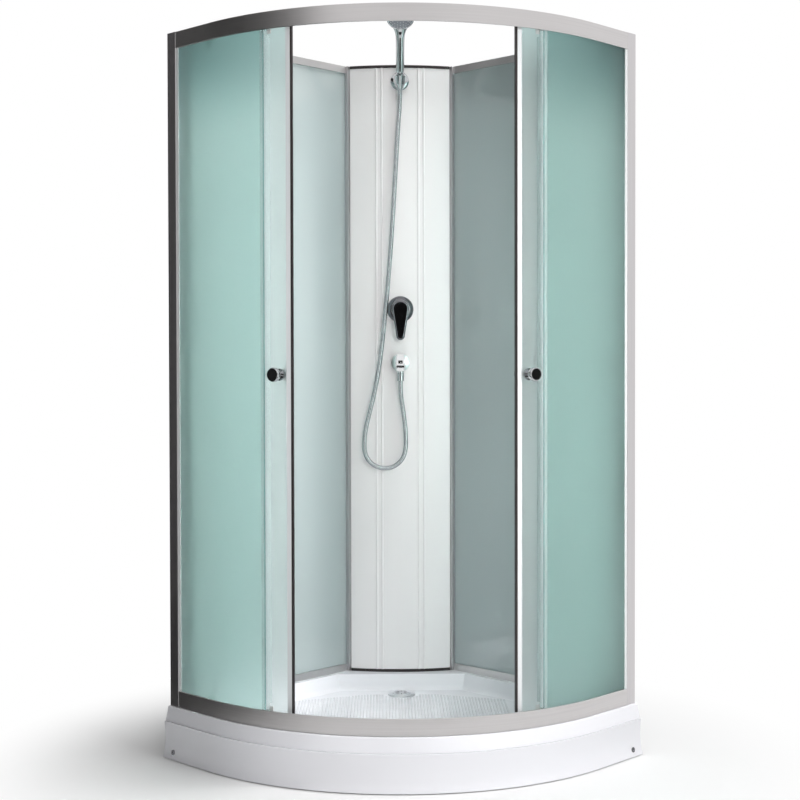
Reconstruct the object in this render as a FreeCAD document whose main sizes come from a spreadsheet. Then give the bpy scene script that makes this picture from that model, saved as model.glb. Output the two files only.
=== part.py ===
import FreeCAD, Part
import math
import os
import re

import Sketcher
from FreeCAD import Placement, Rotation, Vector

# A quadrant corner shower cabin. Lengths are millimetres and angles are degrees.
# The wall planes stand behind the cabin, and the front outline is two straight runs joined by one arc.
# Plan distances are taken from the arc's centre, which lies arc_offset in front of both wall planes.
doc = FreeCAD.newDocument("shower_cabin")
sheet = doc.addObject("Spreadsheet::Sheet", "sizes")

SIZES = {
    # Plan outline and heights
    "arc_offset": 185, "rail_radius": 700, "tray_height": 136, "frame_height": 1794,
    "rim_foot_reach": 15, "rim_top_reach": 6, "rim_bottom": 98,
    "apron_top_reach": 20, "apron_foot_reach": 25, "apron_gap": 0.5, "apron_foot": 2,
    "apron_lip": 8, "apron_skin": 4, "apron_sweep": 216, "apron_end_gap": 1,
    # Tray
    "tray_floor": 94, "tray_skin": 5, "rim_wall": 6, "basin_inset": 52, "basin_front": 46,
    "basin_slope": 20, "basin_corner": 318, "basin_round": 18, "rim_round": 4,
    "drain_place": 55, "drain_bore": 31,
    # Tray support
    "tube_side": 20, "tube_high": 14, "tube_wall": 1.5, "frame_inset": 120, "frame_reach": 545,
    "foot_near": 250, "foot_far": 690, "foot_front": 590, "foot_pad": 25, "foot_pad_high": 10,
    "foot_pad_round": 4, "foot_stem": 5, "nut_radius": 9, "nut_high": 8, "nut_clear": 0.3,
    # Drain
    "strainer_radius": 40, "strainer_rim": 3, "strainer_cap": 27, "strainer_rise": 6,
    "strainer_tail": 29, "strainer_bore": 25, "strainer_drop": 22, "cap_slot": 4, "cap_slot_long": 12,
    "cap_slot_place": 15, "cap_skin": 3,
    "trap_flange": 44, "trap_flange_high": 4, "trap_cup": 40, "trap_wall": 3, "trap_floor": 14,
    "trap_clear": 0.4, "spigot_radius": 20, "spigot_bore": 17.5, "spigot_height": 36, "spigot_long": 120,
    "spigot_collar": 24, "spigot_seat": 50,
    "screw_head": 4.5, "screw_rise": 2.4, "screw_washer": 7, "washer_high": 1.2, "screw_shank": 2.4,
    "screw_long": 16, "screw_hole": 3.7, "screw_inset": 40, "screw_height": 20, "screw_seat": 0.8,
    "screw_gap": 0.3,
    # Rails and posts
    "rail_height": 44, "rail_depth": 31, "rail_skin": 3.2, "rail_plate": 2.5, "rail_web": 2,
    "rail_edge": 1, "ledge_height": 14, "ledge_thick": 2, "ledge_reach": 9.3, "lip_thick": 1.5,
    "lip_rise": 2.5, "rail_joint": 0.3, "post_width": 37, "post_depth": 47, "post_wall": 2.5,
    "post_slot": 12, "post_edge": 2, "bead_width": 9.5, "bead_thick": 2.2, "bead_gap": 0.3,
    # Glass
    "glass_thick": 5, "glass_clear": 0.5, "glass_entry": 18, "slot_gap": 1, "wall_glass_back": 27.5,
    "trim_skin": 4, "trim_high": 20, "trim_gap": 0.3,
    # Column
    "column_radius": 550, "column_half": 147, "column_edge": 213, "column_skin": 3,
    "column_trim_reach": 44, "column_trim_near": 238, "column_trim_far": 262, "strip_high": 8,
    "strip_proud": 1.5, "strip_deep": 6, "strip_gap": 0.3, "rib_radius": 3.5, "rib_sink": 1,
    "rib_near": 54, "rib_far": 70,
    # Doors
    "door_offset": 22.5, "door_edge_gap": 12, "rear_gap": 6.56, "seal_skin": 1.3, "seal_gap": 0.2,
    "seal_end": 30, "fin_thick": 1.2, "fin_gap": 1.2, "fin_end": 60,
    "knob_height": 1025, "knob_radius": 18, "knob_base": 15, "knob_base_high": 5, "knob_neck": 10,
    "knob_neck_long": 19, "knob_high": 13, "knob_round": 4, "knob_hole": 5.6, "knob_stud": 5,
    "stud_clear": 0.3, "knob_socket": 3, "knob_seat": 0.2,
    # Rollers
    "wheel_radius": 11, "wheel_width": 5, "wheel_bore": 3.3, "wheel_gap": 0.3, "wheel_offset": 12.5,
    "wheel_round": 0.8, "axle_radius": 3, "axle_head": 5, "axle_head_thick": 0.6, "hanger_half": 8,
    "hanger_drop": 34, "hanger_rise": 9, "hanger_front": 21, "collar_radius": 5, "collar_front": 17.8,
    "hanger_cap": 11, "cap_high": 6, "cap_gap": 0.12,
    "cap_round": 2, "glass_hole": 5, "shank_radius": 4.7,
    # Mixer
    "mixer_height": 1211, "escutcheon_radius": 39, "escutcheon_rim": 3, "escutcheon_high": 12,
    "escutcheon_top": 27, "escutcheon_bore": 23.3, "neck_radius": 23, "neck_rise": 8,
    "mixer_radius": 30, "mixer_back": 57, "mixer_front": 6, "panel_hole": 24.5, "spindle_radius": 18,
    "spindle_bore": 18.3, "spindle_back": 28, "bore_back": 28.5, "pivot_rise": 30, "ball_radius": 22,
    "ball_gap": 0.4, "dome_radius": 28, "dome_skirt": 4, "pin_radius": 3, "pin_clear": 0.3,
    "pin_half": 25.5, "shield_radius": 24.5, "tip_radius": 12.5, "lever_drop": 78.5, "lever_thick": 9,
    "lever_round": 5,
    "inlet_radius": 10.48, "inlet_bore": 7, "inlet_apart": 38, "inlet_long": 50, "inlet_collar": 13,
    "inlet_seat": 18, "bar_radius": 14,
    "bar_half": 46, "bar_back": 42, "outlet_radius": 9, "outlet_low": 60, "pipe_radius": 8, "pipe_bore": 6,
    # Hose outlet, hose and hand shower
    "elbow_below": 157, "elbow_radius": 26, "elbow_deep": 43, "elbow_crown": 6,
    "elbow_reach": 32, "elbow_neck": 10.5, "elbow_drop": 30, "elbow_hole": 9.5, "elbow_tail": 9,
    "tail_rise": 14, "tail_end": 10, "nut_outer": 10.5, "nut_low": 54, "nut_edge": 1,
    "hose_radius": 7, "hose_bore": 4.5, "socket_drop": 50, "socket_reach": 46,
    "cone_low": 26, "cone_foot": 9, "cone_small": 10.3, "cone_large": 12.4, "cone_top": 16,
    "socket_half": 13, "bore_over": 2, "socket_gap": 0.3, "socket_wall": 5.5, "socket_slot": 8,
    "hose_entry": 44, "holder_radius": 27, "holder_rim": 3, "holder_high": 9, "holder_top": 14,
    "holder_lift": 2, "stem_radius": 8,
    "handle_low": 11.6, "handle_mid": 12.2, "handle_top": 12.8, "handle_end": 155,
    "handle_cap": 8, "head_reach": 22, "head_rise": 183, "head_radius": 41, "head_back": 18, "head_rim": 4,
    "head_front": 3, "web_low": 11, "web_high": 31, "web_start": 78, "web_end": 26, "web_bend": 64,
    "web_thick": 13, "plate_radius": 35, "plate_thick": 3, "plate_gap": 0.3, "plate_seat": 1,
    "cut_over": 60,
}
ANGLES = {
    "bend_angle": 90, "diagonal_angle": 45, "fixed_angle": 14.6, "door_lead_angle": 19.95,
    "seal_over_angle": 0.7, "seal_ahead_angle": 0.35, "seal_seat_angle": 0.02, "magnet_ahead_angle": 0.75,
    "edge_over_angle": 0.7, "edge_ahead_angle": 0.8, "rear_ahead_angle": 0.2, "screw_tilt_angle": 10.9,
    "front_wheel_angle": 4.95, "rear_wheel_angle": 22.5, "knob_angle": 2.35, "lean_angle": 25,
    "face_drop_angle": 20,
}
for row, (name, number) in enumerate({**SIZES, **ANGLES}.items(), start=1):
    sheet.set(f"A{row}", name)
    sheet.set(f"B{row}", str(number))
    sheet.setAlias(f"B{row}", name)
doc.recompute()

# Words of a formula that are not names in the sheet, and how nearly two heights must agree to be one
WORDS = {"sqrt", "asin", "deg"}
SAME = 1e-6


def bound(text):
    """Writes a formula in the sheet's own names as a document expression."""
    return re.sub(r"[a-z][a-z_0-9]*", lambda m: m[0] if m[0] in WORDS else "sizes." + m[0], text)


def value(text):
    """Reads a formula in the sheet's names as a number."""
    return float(sheet.evalExpression(bound(text)))


HALF_SIDE = "((arc_offset + rail_radius + apron_foot_reach) / 2)"
TOP = "(tray_height + frame_height)"
MID = "(tray_height + frame_height / 2)"
FRONT = "(column_edge + column_radius - sqrt(column_radius ^ 2 - column_half ^ 2))"
PIVOT = f"({FRONT} + pivot_rise)"
WHEEL = f"({TOP} - rail_height + ledge_height + ledge_thick + wheel_radius + wheel_gap)"
DOOR_TOP = f"({WHEEL} + door_edge_gap)"
DOOR_FOOT = f"(2 * {MID} - {DOOR_TOP})"
DOOR_FACE = "(rail_radius - door_offset)"
DOOR_BACK = f"({DOOR_FACE} - glass_thick)"
FIXED_FACE = "(rail_radius - rail_skin - glass_clear)"
FIXED_BACK = f"({FIXED_FACE} - glass_thick)"
ELBOW = "(mixer_height - elbow_below)"
HOLDER = f"({TOP} - socket_drop)"
UPRIGHT = Vector(0, 0, 1)
CORNER = {"at": ("-arc_offset", "-arc_offset"), "turn": "diagonal_angle"}
parts = {}


def place(thing, height="0", turn="0", at=("0", "0"), lean=None):
    """Stands a piece at a plan point from the arc's centre, turned from the left tangent, or leaning."""
    turning = Rotation(UPRIGHT, value(turn) - value("bend_angle"))
    if lean:
        turning = turning.multiply(Rotation(Vector(0, 1, 0), value(lean)))
    thing.Placement = Placement(Vector(), turning)
    thing.setExpression("Placement.Base.x", bound(f"{at[1]} + arc_offset - {HALF_SIDE}"))
    thing.setExpression("Placement.Base.y", bound(f"{HALF_SIDE} - arc_offset - ({at[0]})"))
    thing.setExpression("Placement.Base.z", bound(height))


def new_body(label, **where):
    body = doc.addObject("PartDesign::Body", label)
    body.Label = label
    place(body, **where)
    return body


def keep(thing, label=None):
    """Marks a finished sub-part: its label names its file."""
    thing.Label = label or thing.Label
    parts[thing.Label] = thing
    return thing


def sketch(body, name, role="XY_Plane", lift=None, turn=None):
    drawing = body.newObject("Sketcher::SketchObject", name)
    plane = next(item for item in body.Origin.OriginFeatures if item.Role == role)
    drawing.AttachmentSupport = [(plane, "")]
    drawing.MapMode = "FlatFace"
    if turn:
        drawing.AttachmentOffset = Placement(Vector(), Rotation(Vector(0, 1, 0), value(turn)))
    if lift:
        drawing.setExpression("AttachmentOffset.Base.z", bound(lift))
    return drawing


def pin_point(drawing, edge, end, x, y):
    """Ties one point of a sketch to its two named distances from the origin."""
    for kind, axis, text in (("DistanceX", -2, x), ("DistanceY", -1, y)):
        if text == "0":
            drawing.addConstraint(Sketcher.Constraint("PointOnObject", edge, end, axis))
            continue
        index = drawing.addConstraint(Sketcher.Constraint(kind, -1, 1, edge, end, value(text)))
        drawing.setExpression(f"Constraints[{index}]", bound(text))


def outline(drawing, points, arcs=None):
    """Draws a closed loop. arcs holds each bent edge's side and radius: left for counter-clockwise."""
    arcs = arcs or {}
    spots = [Vector(value(x), value(y), 0) for x, y in points]
    count = len(points)
    first = drawing.GeometryCount
    ends = []
    for i, start in enumerate(spots):
        stop = spots[(i + 1) % count]
        if i not in arcs:
            drawing.addGeometry(Part.LineSegment(start, stop))
            ends.append((1, 2))
            continue
        side, radius = arcs[i]
        chord = stop - start
        out = Vector(chord.y, -chord.x, 0).normalize() * (1 if side == "left" else -1)
        size = value(radius)
        rise = size - math.sqrt(size ** 2 - chord.Length ** 2 / 4)
        drawing.addGeometry(Part.Arc(start, (start + stop) * 0.5 + out * rise, stop))
        ends.append((1, 2) if side == "left" else (2, 1))
    for i in range(count):
        after = (i + 1) % count
        drawing.addConstraint(
            Sketcher.Constraint("Coincident", first + i, ends[i][1], first + after, ends[after][0]))
    for i, (x, y) in enumerate(points):
        pin_point(drawing, first + i, ends[i][0], x, y)
    for i, (side, radius) in arcs.items():
        index = drawing.addConstraint(Sketcher.Constraint("Radius", first + i, value(radius)))
        drawing.setExpression(f"Constraints[{index}]", bound(radius))
    return drawing


def box(drawing, x0, y0, x1, y1):
    return outline(drawing, [(x0, y0), (x1, y0), (x1, y1), (x0, y1)])


def ring(drawing, x, y, radius):
    spot = Vector(value(x), value(y), 0)
    edge = drawing.addGeometry(Part.Circle(spot, UPRIGHT, value(radius)))
    pin_point(drawing, edge, 3, x, y)
    index = drawing.addConstraint(Sketcher.Constraint("Radius", edge, value(radius)))
    drawing.setExpression(f"Constraints[{index}]", bound(radius))
    return drawing


def feature(body, kind, name, drawing, length=None, back=False, both=False, angle=None, axis=None):
    made = body.newObject("PartDesign::" + kind, name)
    made.Profile = drawing
    if length:
        made.setExpression("Length", bound(length))
    if both:
        made.Midplane = True
    if axis:
        made.ReferenceAxis = (drawing, [axis])
        made.Angle = 360
        if angle:
            made.setExpression("Angle", bound(angle))
    made.Reversed = back
    return made


def turned(label, points, arcs=None, **where):
    """A piece turned about the line that runs out from the arc's centre or the wall corner."""
    body = new_body(label, **where)
    drawing = outline(sketch(body, label + "_profile", "XZ_Plane"), points, arcs)
    feature(body, "Revolution", label + "_turn", drawing, axis="H_Axis")
    return body


def swung(label, points, angle, arcs=None, **where):
    """A piece whose section swings about the upright line through the arc's centre."""
    body = new_body(label, **where)
    drawing = outline(sketch(body, label + "_section", "XZ_Plane"), points, arcs)
    feature(body, "Revolution", label + "_swing", drawing, angle=angle, axis="V_Axis")
    return body


def bent_bar(label, points, straight, arcs=None):
    """A section carried along the front outline: straight run, arc, straight run."""
    body = swung(label, points, "bend_angle", arcs)
    near = body.Group[0]
    feature(body, "Pad", label + "_left_run", near, straight)
    far = outline(sketch(body, label + "_far_section", "YZ_Plane"), points, arcs)
    feature(body, "Pad", label + "_right_run", far, straight, back=True)
    return body


def mirrored(source, label, upright=False):
    """The other-handed copy: across the cabin's diagonal, or top to bottom about mid height."""
    copy = doc.addObject("Part::Mirroring", label)
    copy.Source = source
    copy.Normal = UPRIGHT if upright else Vector(1, 1, 0)
    if upright:
        copy.setExpression("Base.z", bound(MID))
    copy.Label = label
    return copy


def both_hands(body):
    """Keeps a left piece and its mirrored right piece."""
    keep(body)
    return keep(mirrored(body, body.Label.replace("left", "right")))


def grouped(label, pieces):
    """Several like solids that share one file."""
    group = doc.addObject("Part::Compound", label)
    group.Links = pieces
    return keep(group, label)


def edges_where(shape, test):
    numbered = enumerate(shape.Edges, start=1)
    return [f"Edge{i}" for i, edge in numbered if not edge.Degenerated and test(edge)]


def rounded(body, name, radius, test):
    """Rounds the edges of the body's last feature that pass the test."""
    doc.recompute()
    base = body.Tip
    names = edges_where(base.Shape, test)
    made = body.newObject("PartDesign::Fillet", name)
    made.Base = (base, names)
    made.setExpression("Radius", bound(radius))
    return made


def level(edge, height):
    """True for an edge that lies flat at the given height."""
    ends = edge.BoundBox.ZMin, edge.BoundBox.ZMax
    return all(math.isclose(end, height, rel_tol=SAME) for end in ends)


# Tray: a moulded rim with a sunk basin, hollow under the rim, and a hole for the drain
def front_loop(reach, wall="0"):
    side = f"{wall} - arc_offset" if wall != "0" else "-arc_offset"
    front = f"rail_radius + {reach}"
    return [(side, side), (front, side), (front, "0"), ("0", front), (side, front)], {2: ("left", front)}


def basin_loop(shift):
    side = f"basin_inset + {shift} - arc_offset"
    front = f"rail_radius - basin_front - ({shift})"
    corner = f"basin_corner + ({shift}) * (sqrt(2) - 1) - arc_offset"
    return [(corner, side), (front, side), (front, "0"), ("0", front), (side, front), (side, corner)], {
        2: ("left", front)}


tray = new_body("tray")
rim_foot = outline(sketch(tray, "rim_foot_line", lift="rim_bottom"), *front_loop("rim_foot_reach"))
rim_top = outline(sketch(tray, "rim_top_line", lift="tray_height"), *front_loop("rim_top_reach"))
rim = tray.newObject("PartDesign::AdditiveLoft", "rim")
rim.Profile = rim_foot
rim.Sections = [rim_top]
rim.Ruled = True
pan = sketch(tray, "pan_line", lift="tray_floor - tray_skin")
outline(pan, *basin_loop("basin_slope - tray_skin"))
feature(tray, "Pad", "pan", pan, "rim_bottom - tray_floor + tray_skin * 2")
basin_top = outline(sketch(tray, "basin_top_line", lift="tray_height"), *basin_loop("0"))
basin_low = outline(sketch(tray, "basin_floor_line", lift="tray_floor"), *basin_loop("basin_slope"))
basin = tray.newObject("PartDesign::SubtractiveLoft", "basin")
basin.Profile = basin_top
basin.Sections = [basin_low]
basin.Ruled = True
hollow = sketch(tray, "hollow_line", lift="rim_bottom")
outline(hollow, *front_loop("rim_top_reach - tray_skin", "tray_skin"))
outline(hollow, *basin_loop("-rim_wall"))
feature(tray, "Pocket", "hollow", hollow, "tray_height - tray_skin - rim_bottom", back=True)
drain_hole = sketch(tray, "drain_hole_line", lift="tray_height")
ring(drain_hole, "drain_place", "drain_place", "drain_bore")
feature(tray, "Pocket", "drain_hole", drain_hole, "tray_height")


def basin_foot(edge):
    """True for an edge round the basin's floor, and not for the drain's."""
    small = isinstance(edge.Curve, Part.Circle) and edge.Curve.Radius < value("basin_corner")
    return level(edge, value("tray_floor")) and not small


def rim_edge(edge):
    """True for an edge along the front of the rim's top, away from the walls."""
    reach = edge.BoundBox.XMax + edge.BoundBox.YMax
    far = max(math.hypot(v.X, v.Y) for v in edge.Vertexes)
    return level(edge, value("tray_height")) and min(reach, far) > value("rail_radius")


rounded(tray, "basin_foot_round", "basin_round", basin_foot)
rounded(tray, "rim_edge_round", "rim_round", rim_edge)
keep(tray)

# Apron: a thin skirt with a shallow hollow sweep, held by one screw near each end
apron_top = "rim_bottom - apron_gap"
apron = bent_bar("front_apron", [
    ("rail_radius + apron_top_reach", apron_top),
    ("rail_radius + apron_top_reach - apron_skin - apron_lip", apron_top),
    ("rail_radius + apron_top_reach - apron_skin - apron_lip", f"{apron_top} - apron_skin"),
    ("rail_radius + apron_top_reach - apron_skin", f"{apron_top} - apron_skin"),
    ("rail_radius + apron_foot_reach - apron_skin", "apron_foot"),
    ("rail_radius + apron_foot_reach", "apron_foot"),
], "arc_offset - apron_end_gap", {3: ("left", "apron_sweep + apron_skin"), 5: ("right", "apron_sweep")})
for role, name in (("YZ_Plane", "left_screw_hole"), ("XZ_Plane", "right_screw_hole")):
    hole = sketch(apron, name + "_line", role)
    ring(hole, "screw_inset - arc_offset", "screw_height", "screw_hole")
    feature(apron, "Pocket", name, hole, "(rail_radius + apron_foot_reach) * 2 + cut_over", both=True)
keep(apron)

# Screws with washers, one near each end of the apron, square to its sloping face
washer_top = "screw_gap + washer_high"
left_screw = turned("left_apron_screw", [
    ("-screw_long", "0"), ("-screw_long", "screw_shank"), ("screw_gap", "screw_shank"),
    ("screw_gap", "screw_washer"), (washer_top, "screw_washer"), (washer_top, "screw_head"),
    (f"{washer_top} + screw_rise", "0"),
], {5: ("right", "(screw_head ^ 2 + screw_rise ^ 2) / (screw_rise * 2)")}, lean="-screw_tilt_angle",
    at=("rail_radius + apron_top_reach + screw_seat", "screw_inset - arc_offset"), height="screw_height")
grouped("apron_screws", [left_screw, mirrored(left_screw, "right_apron_screw")])

# Tray support: folded channels welded into a triangle, on five adjustable feet
support = new_body("tray_frame")
support_foot = "tray_floor - tray_skin - tube_high"
near, far = "(frame_inset - arc_offset)", "frame_reach"
mid_run, toe = f"(({far} + {near}) / 2)", "(foot_front - arc_offset)"


def channel_plans(half):
    """Plan outlines of the four channels, for a given half width."""
    slant = f"({half}) / sqrt(2)"
    return {
        "left": [(f"{near} - ({half})", f"{near} - ({half})"), (f"{far} + {half}", f"{near} - ({half})"),
                 (f"{far} + {half}", f"{near} + {half}"), (f"{near} - ({half})", f"{near} + {half}")],
        "back": [(f"{near} - ({half})", f"{near} - ({half})"), (f"{near} + {half}", f"{near} - ({half})"),
                 (f"{near} + {half}", f"{far} + {half}"), (f"{near} - ({half})", f"{far} + {half}")],
        "cross": [(f"{far} - {slant}", f"{near} - {slant}"), (f"{far} + {slant}", f"{near} + {slant}"),
                  (f"{near} + {slant}", f"{far} + {slant}"), (f"{near} - {slant}", f"{far} - {slant}")],
        "front": [(f"{mid_run} + {slant}", f"{mid_run} - {slant}"), (f"{toe} + {slant} * 2", toe),
                  (toe, f"{toe} + {slant} * 2"), (f"{mid_run} - {slant}", f"{mid_run} + {slant}")],
    }


for name, plan in channel_plans("tube_side / 2").items():
    drawing = outline(sketch(support, name + "_channel_line", lift=support_foot), plan)
    feature(support, "Pad", name + "_channel", drawing, "tube_high")
for name, plan in channel_plans("tube_side / 2 - tube_wall").items():
    drawing = outline(sketch(support, name + "_hollow_line", lift=support_foot), plan)
    feature(support, "Pocket", name + "_hollow", drawing, "tube_high - tube_wall", back=True)
keep(support)

stem_top = "tray_floor - tray_skin - tube_wall"
feet = []
for name, across, along in (
    ("left_near", "foot_near - arc_offset", near), ("left_far", "foot_far - arc_offset", near),
    ("right_near", near, "foot_near - arc_offset"), ("right_far", near, "foot_far - arc_offset"),
    ("front", toe, toe),
):
    foot = new_body(name + "_foot", at=(across, along))
    drawing = outline(sketch(foot, name + "_foot_line", "XZ_Plane"), [
        ("0", "0"), ("foot_pad", "0"), ("foot_pad", "foot_pad_high - foot_pad_round"),
        ("foot_pad - foot_pad_round", "foot_pad_high"), ("foot_stem", "foot_pad_high"),
        ("foot_stem", stem_top), ("0", stem_top)], {2: ("left", "foot_pad_round")})
    feature(foot, "Revolution", name + "_foot_turn", drawing, axis="V_Axis")
    nut = new_body(name + "_nut", at=(across, along))
    drawing = sketch(nut, name + "_nut_line", lift=f"{support_foot} - nut_high")
    flat = "nut_radius * sqrt(3) / 2"
    outline(drawing, [
        ("nut_radius", "0"), ("nut_radius / 2", flat), ("-nut_radius / 2", flat), ("-nut_radius", "0"),
        ("-nut_radius / 2", "-" + flat), ("nut_radius / 2", "-" + flat)])
    ring(drawing, "0", "0", "foot_stem + nut_clear")
    feature(nut, "Pad", name + "_nut_pad", drawing, "nut_high")
    feet += [foot, nut]
grouped("tray_feet", feet)

# Drain: strainer in the floor, trap cup and spigot beneath
drain = {"at": ("drain_place", "drain_place"), "turn": "diagonal_angle"}
strainer = new_body("drain_strainer", height="tray_floor", **drain)
drawing = outline(sketch(strainer, "strainer_line", "XZ_Plane"), [
    ("0", "strainer_rim"), ("strainer_bore", "strainer_rim"), ("strainer_bore", "-strainer_drop"),
    ("strainer_tail", "-strainer_drop"), ("strainer_tail", "0"), ("strainer_radius", "0"),
    ("strainer_radius - strainer_rim", "strainer_rim"), ("strainer_cap", "strainer_rim"),
    ("strainer_cap - cap_skin", "strainer_rise"), ("0", "strainer_rise")])
feature(strainer, "Revolution", "strainer_turn", drawing, axis="V_Axis")
slot = box(sketch(strainer, "slot_line", lift="strainer_rise"), "cap_slot_place - cap_slot_long / 2",
           "-cap_slot / 2", "cap_slot_place + cap_slot_long / 2", "cap_slot / 2")
slot_cut = feature(strainer, "Pocket", "slot", slot, "strainer_rise")
slots = strainer.newObject("PartDesign::PolarPattern", "slots")
slots.Originals = [slot_cut]
slots.Axis = (slot, ["N_Axis"])
slots.Angle = 360
slots.Occurrences = 8
strainer.Tip = slots
keep(strainer)

trap = new_body("drain_trap", **drain)
trap_top = "tray_floor - tray_skin"
drawing = outline(sketch(trap, "trap_line", "XZ_Plane"), [
    ("0", "trap_floor"), ("trap_cup", "trap_floor"), ("trap_cup", f"{trap_top} - trap_flange_high"),
    ("trap_flange", f"{trap_top} - trap_flange_high"), ("trap_flange", trap_top), ("0", trap_top)])
feature(trap, "Revolution", "trap_turn", drawing, axis="V_Axis")
for name, size, long in (
    ("collar", "spigot_collar", "spigot_seat"), ("spigot", "spigot_radius", "spigot_long"),
):
    drawing = ring(sketch(trap, name + "_line", "YZ_Plane"), "0", "spigot_height", size)
    feature(trap, "Pad", name, drawing, long, back=True)
drawing = outline(sketch(trap, "cup_line", "XZ_Plane"), [
    ("0", "trap_floor + trap_wall"), ("trap_cup - trap_wall", "trap_floor + trap_wall"),
    ("trap_cup - trap_wall", f"{trap_top} - trap_flange_high"),
    ("strainer_tail + trap_clear", f"{trap_top} - trap_flange_high"),
    ("strainer_tail + trap_clear", trap_top), ("0", trap_top)])
feature(trap, "Groove", "cup", drawing, axis="V_Axis")
drawing = ring(sketch(trap, "spigot_bore_line", "YZ_Plane"), "0", "spigot_height", "spigot_bore")
feature(trap, "Pocket", "spigot_bore", drawing, "spigot_long + cut_over")
keep(trap)

# Rails: one extrusion with a glass slot and a roller ledge, bent to the front outline, used both ways up
foot = f"{TOP} - rail_height"
slot_out, slot_in = "rail_radius - rail_skin", f"{FIXED_BACK} - glass_clear"
web_in = f"{slot_in} - rail_web"
lip_in = f"{web_in} - ledge_reach"
under = f"{TOP} - rail_plate"
rail_points = [
    ("rail_radius - rail_edge", foot), ("rail_radius", f"{foot} + rail_edge"),
    ("rail_radius", f"{TOP} - rail_edge"), ("rail_radius - rail_edge", TOP),
    ("rail_radius - rail_depth", TOP), ("rail_radius - rail_depth", under),
    (web_in, under), (web_in, f"{foot} + ledge_height + ledge_thick"),
    (f"{lip_in} + lip_thick", f"{foot} + ledge_height + ledge_thick"),
    (f"{lip_in} + lip_thick", f"{foot} + ledge_height + ledge_thick + lip_rise"),
    (lip_in, f"{foot} + ledge_height + ledge_thick + lip_rise"), (lip_in, f"{foot} + ledge_height"),
    (slot_in, f"{foot} + ledge_height"), (slot_in, under), (slot_out, under), (slot_out, foot)]
top_rail = keep(bent_bar("top_rail", rail_points, "arc_offset - post_width - rail_joint"))
keep(mirrored(top_rail, "bottom_rail", upright=True))

# Posts: hollow extrusions with a slot for the fixed front glass and one for the wall glass
wall_near = "(wall_glass_back - glass_clear)"
wall_far = "(wall_glass_back + glass_thick + glass_clear)"
post = new_body("left_post")
post_back, post_side = "(rail_radius - post_depth)", "(post_width - arc_offset)"
drawing = outline(sketch(post, "post_line", lift="tray_height"), [
    (post_back, "-arc_offset"), ("rail_radius - post_edge", "-arc_offset"),
    ("rail_radius", "post_edge - arc_offset"), ("rail_radius", f"{post_side} - rail_edge"),
    ("rail_radius - rail_edge", post_side), (slot_out, post_side), (slot_out, f"{post_side} - post_slot"),
    (slot_in, f"{post_side} - post_slot"), (slot_in, post_side), (post_back, post_side),
    (post_back, f"{wall_far} - arc_offset"), (f"{post_back} + post_slot", f"{wall_far} - arc_offset"),
    (f"{post_back} + post_slot", f"{wall_near} - arc_offset"), (post_back, f"{wall_near} - arc_offset")])
box(drawing, f"{post_back} + post_wall", "post_wall - arc_offset", "rail_radius - post_wall",
    f"{post_side} - post_slot - post_wall")
feature(post, "Pad", "post_pad", drawing, "frame_height")
both_hands(post)

bead = new_body("left_post_bead")
drawing = box(sketch(bead, "bead_line", lift="tray_height + rail_height + bead_gap"),
              f"{FIXED_FACE} + bead_gap", post_side, f"{FIXED_FACE} + bead_gap + bead_thick",
              f"{post_side} + bead_width")
feature(bead, "Pad", "bead_pad", drawing, "frame_height - (rail_height + bead_gap) * 2")
both_hands(bead)

# Fixed front glass: a flat run from the post, then part of the bend
glass_foot = "tray_height + rail_height - glass_entry"
glass_top = f"{TOP} - rail_height + glass_entry"
fixed = swung("left_fixed_glass", [
    (FIXED_BACK, glass_foot), (FIXED_FACE, glass_foot), (FIXED_FACE, glass_top), (FIXED_BACK, glass_top),
], "fixed_angle")
feature(fixed, "Pad", "fixed_run", fixed.Group[0], "arc_offset - post_width + post_slot - slot_gap")
both_hands(fixed)


def edge_seal(label, face, back, ends, turn, over, ahead, reverse=False):
    """A channel pushed over a glass edge: it grips by one angle and stands ahead by another."""
    foot, top = ends
    body = new_body(label, turn=turn)
    drawing = box(sketch(body, label + "_line", "XZ_Plane"), f"{back} - seal_gap - seal_skin", foot,
                  f"{face} + seal_gap + seal_skin", top)
    feature(body, "Revolution", label + "_swing", drawing, angle=f"{over} + {ahead}", axis="V_Axis",
            back=reverse)
    drawing = box(sketch(body, label + "_grip_line", "XZ_Plane"), f"{back} - seal_gap", foot,
                  f"{face} + seal_gap", top)
    feature(body, "Groove", label + "_grip", drawing, angle=f"{over} + seal_seat_angle", axis="V_Axis",
            back=reverse)
    return body


open_ends = ("tray_height + rail_height + bead_gap", f"{TOP} - rail_height - bead_gap")
seal = edge_seal("left_fixed_seal", FIXED_FACE, FIXED_BACK, open_ends, "fixed_angle - edge_over_angle",
                 "edge_over_angle", "edge_ahead_angle")
drawing = sketch(seal, "fin_line", "XZ_Plane", turn="edge_over_angle + edge_ahead_angle")
box(drawing, f"{DOOR_FACE} + fin_gap", "tray_height + fin_end", f"{FIXED_BACK} - seal_gap",
    f"{TOP} - fin_end")
feature(seal, "Pad", "fin", drawing, "fin_thick")
both_hands(seal)

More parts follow.
